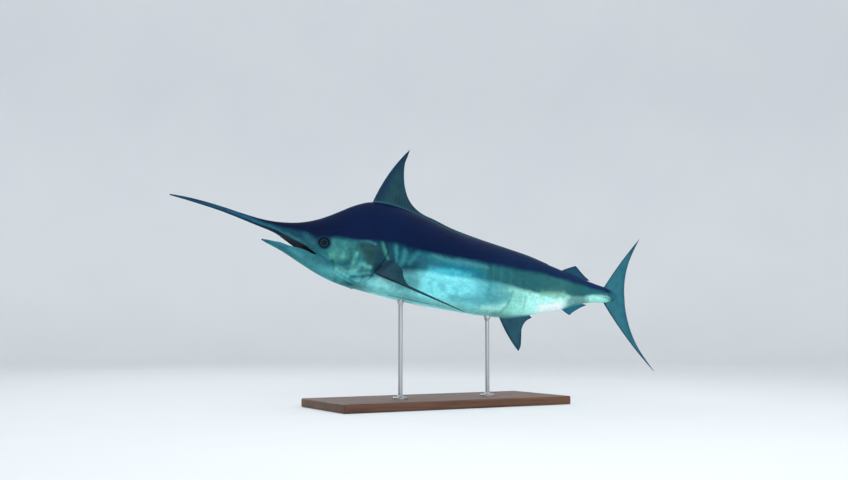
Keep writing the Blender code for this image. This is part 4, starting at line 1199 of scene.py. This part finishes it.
def studio_bowl():
    """A pale floor that turns up into a wall all round, so that no edge shows behind the fish."""
    flat, bend, high, around = 9.0, 5.0, 9.0, 96
    profile = [(flat * k / 12, 0.0) for k in range(1, 13)]
    profile += [(flat + bend * math.sin(a), bend - bend * math.cos(a)) for a in np.linspace(0, math.pi / 2, 25)[1:]]
    profile += [(flat + bend, bend + (high - bend) * k / 4) for k in range(1, 5)]
    turns = np.linspace(0, 2 * math.pi, around, endpoint=False)
    points = [(0.0, 0.0, 0.0)] + [(r * math.cos(a), r * math.sin(a), z) for r, z in profile for a in turns]
    faces = [(0, 1 + k, 1 + (k + 1) % around) for k in range(around)]
    for a in range(1, 1 + (len(profile) - 1) * around, around):
        b = a + around
        faces += [(a + k, b + k, b + (k + 1) % around, a + (k + 1) % around) for k in range(around)]
    mesh = bpy.data.meshes.new("studio_floor")
    mesh.from_pydata(points, [], faces)
    mesh.shade_smooth()
    floor = bpy.data.objects.new("studio_floor", mesh)
    bpy.context.scene.collection.objects.link(floor)
    paint = Paint("studio_floor", Roughness=0.95, Specular_IOR_Level=0.2)
    place = paint.place()
    away = paint.node("VectorMath", {0: place}, "Value", operation="LENGTH")
    # Painted shade on the floor round the fish, under the lamps, which evens out the pools of their light
    shade_under_lamps = paint.times(paint.step(away, 1.5, 5.5), paint.step(away, 14.0, 9.0))
    colour = paint.mix(paint.noise(place, 0.8, 2.0), srgb(222, 225, 228), srgb(228, 231, 233))
    dress(floor, paint.finish(paint.darken(shade_under_lamps, colour, (0.9, 0.9, 0.9))))
    floor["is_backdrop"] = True


def lamp(name, place, size, energy, colour):
    """A soft round lamp that faces the middle of the fish."""
    light = bpy.data.lights.new(name, "AREA")
    light.shape, light.size, light.energy, light.color = "DISK", size, energy, colour
    light.spread = math.radians(LAMP_SPREAD_DEG)
    obj = bpy.data.objects.new(name, light)
    obj.location = place
    obj.rotation_euler = (LAMP_AIM - Vector(place)).to_track_quat("-Z", "Y").to_euler()
    obj.visible_camera = False
    bpy.context.scene.collection.objects.link(obj)


def studio_lights():
    for settings in LAMPS:
        lamp(*settings)
    world = bpy.data.worlds.new("studio")
    world.use_nodes = True
    sky = world.node_tree.nodes["Background"].inputs
    sky[0].default_value, sky[1].default_value = SKY, SKY_STRENGTH
    bpy.context.scene.world = world
    bpy.context.scene.view_settings.view_transform = "Standard"


def photo_camera():
    camera = bpy.data.cameras.new("photo_view")
    camera.sensor_width = 36.0
    camera.lens = camera.sensor_width / 2 / math.tan(math.radians(FIELD_OF_VIEW_DEG / 2))
    obj = bpy.data.objects.new("photo_view", camera)
    obj.location = Vector(JAW_TIP) + Vector(CAMERA_AWAY) * LENGTH
    obj.rotation_euler = Vector(CAMERA_LOOK).to_track_quat("-Z", "Y").to_euler()
    bpy.context.scene.collection.objects.link(obj)
    bpy.context.scene.camera = obj


# Where a blade's leading edge ends, then the tones of its membrane, rays, leading edge and root
FIN_TONES = {
    "first_dorsal": (0.09, (12, 46, 62), (26, 68, 78), (8, 42, 68), (34, 82, 92)),
    "second_dorsal": (0.12, (10, 54, 82), (24, 74, 98), (6, 42, 66), (8, 40, 70)),
    "pectoral": (0.15, (10, 40, 56), (28, 68, 82), (4, 24, 40), (10, 40, 58)),
    "pelvic": (0.15, (88, 170, 176), (120, 206, 208), (78, 156, 162), (110, 200, 204)),
    "second_anal": (0.12, (12, 78, 100), (30, 104, 122), (12, 64, 88), (70, 142, 148)),
    "anal": (0.12, (20, 60, 80), (38, 84, 98), (14, 46, 68), (60, 116, 122)),
    "tail": (0.15, (24, 88, 106), (48, 114, 126), (16, 66, 90), (30, 88, 102)),
}


def dress_fins():
    """Gives each blade the tones of its place on the fish."""
    made = {}
    for kind, (lead_end, *tones) in FIN_TONES.items():
        made[kind] = fin_material(f"{kind}_fins", lead_end, *(srgb(*shown) for shown in tones))
    for obj in list(bpy.data.objects):
        kind = next((kind for kind in made if "_blade" in obj.name and kind in obj.name), None)
        if kind:
            dress(obj, made[kind])


def main():
    body = skin()
    paint_skin(body.data)
    dress(body, skin_material())
    median_fins()
    tail_fins()
    pectoral_fin("left", PECTORAL_HELD_OUT)
    pectoral_fin("right", PECTORAL_FOLDED)
    pelvic_fin("left")
    pelvic_fin("right")
    dress_fins()
    eyes = eye_material()
    for side in ("left", "right"):
        dress(eye(side), eyes)
    wood, steel = wood_material(), steel_material()
    for node, material in (("stand_base", wood), ("stand_rod_front", steel), ("stand_rod_rear", steel)):
        for slot in frame["nodes"][node].material_slots:
            slot.material = material
    studio_bowl()
    studio_lights()
    photo_camera()
    write_sizes()


def write_sizes():
    """Works out the solids' box and the dressed model's box."""
    boxes = [[list(corner) for corner in box] for box in (CAD_BOX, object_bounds())]


main()
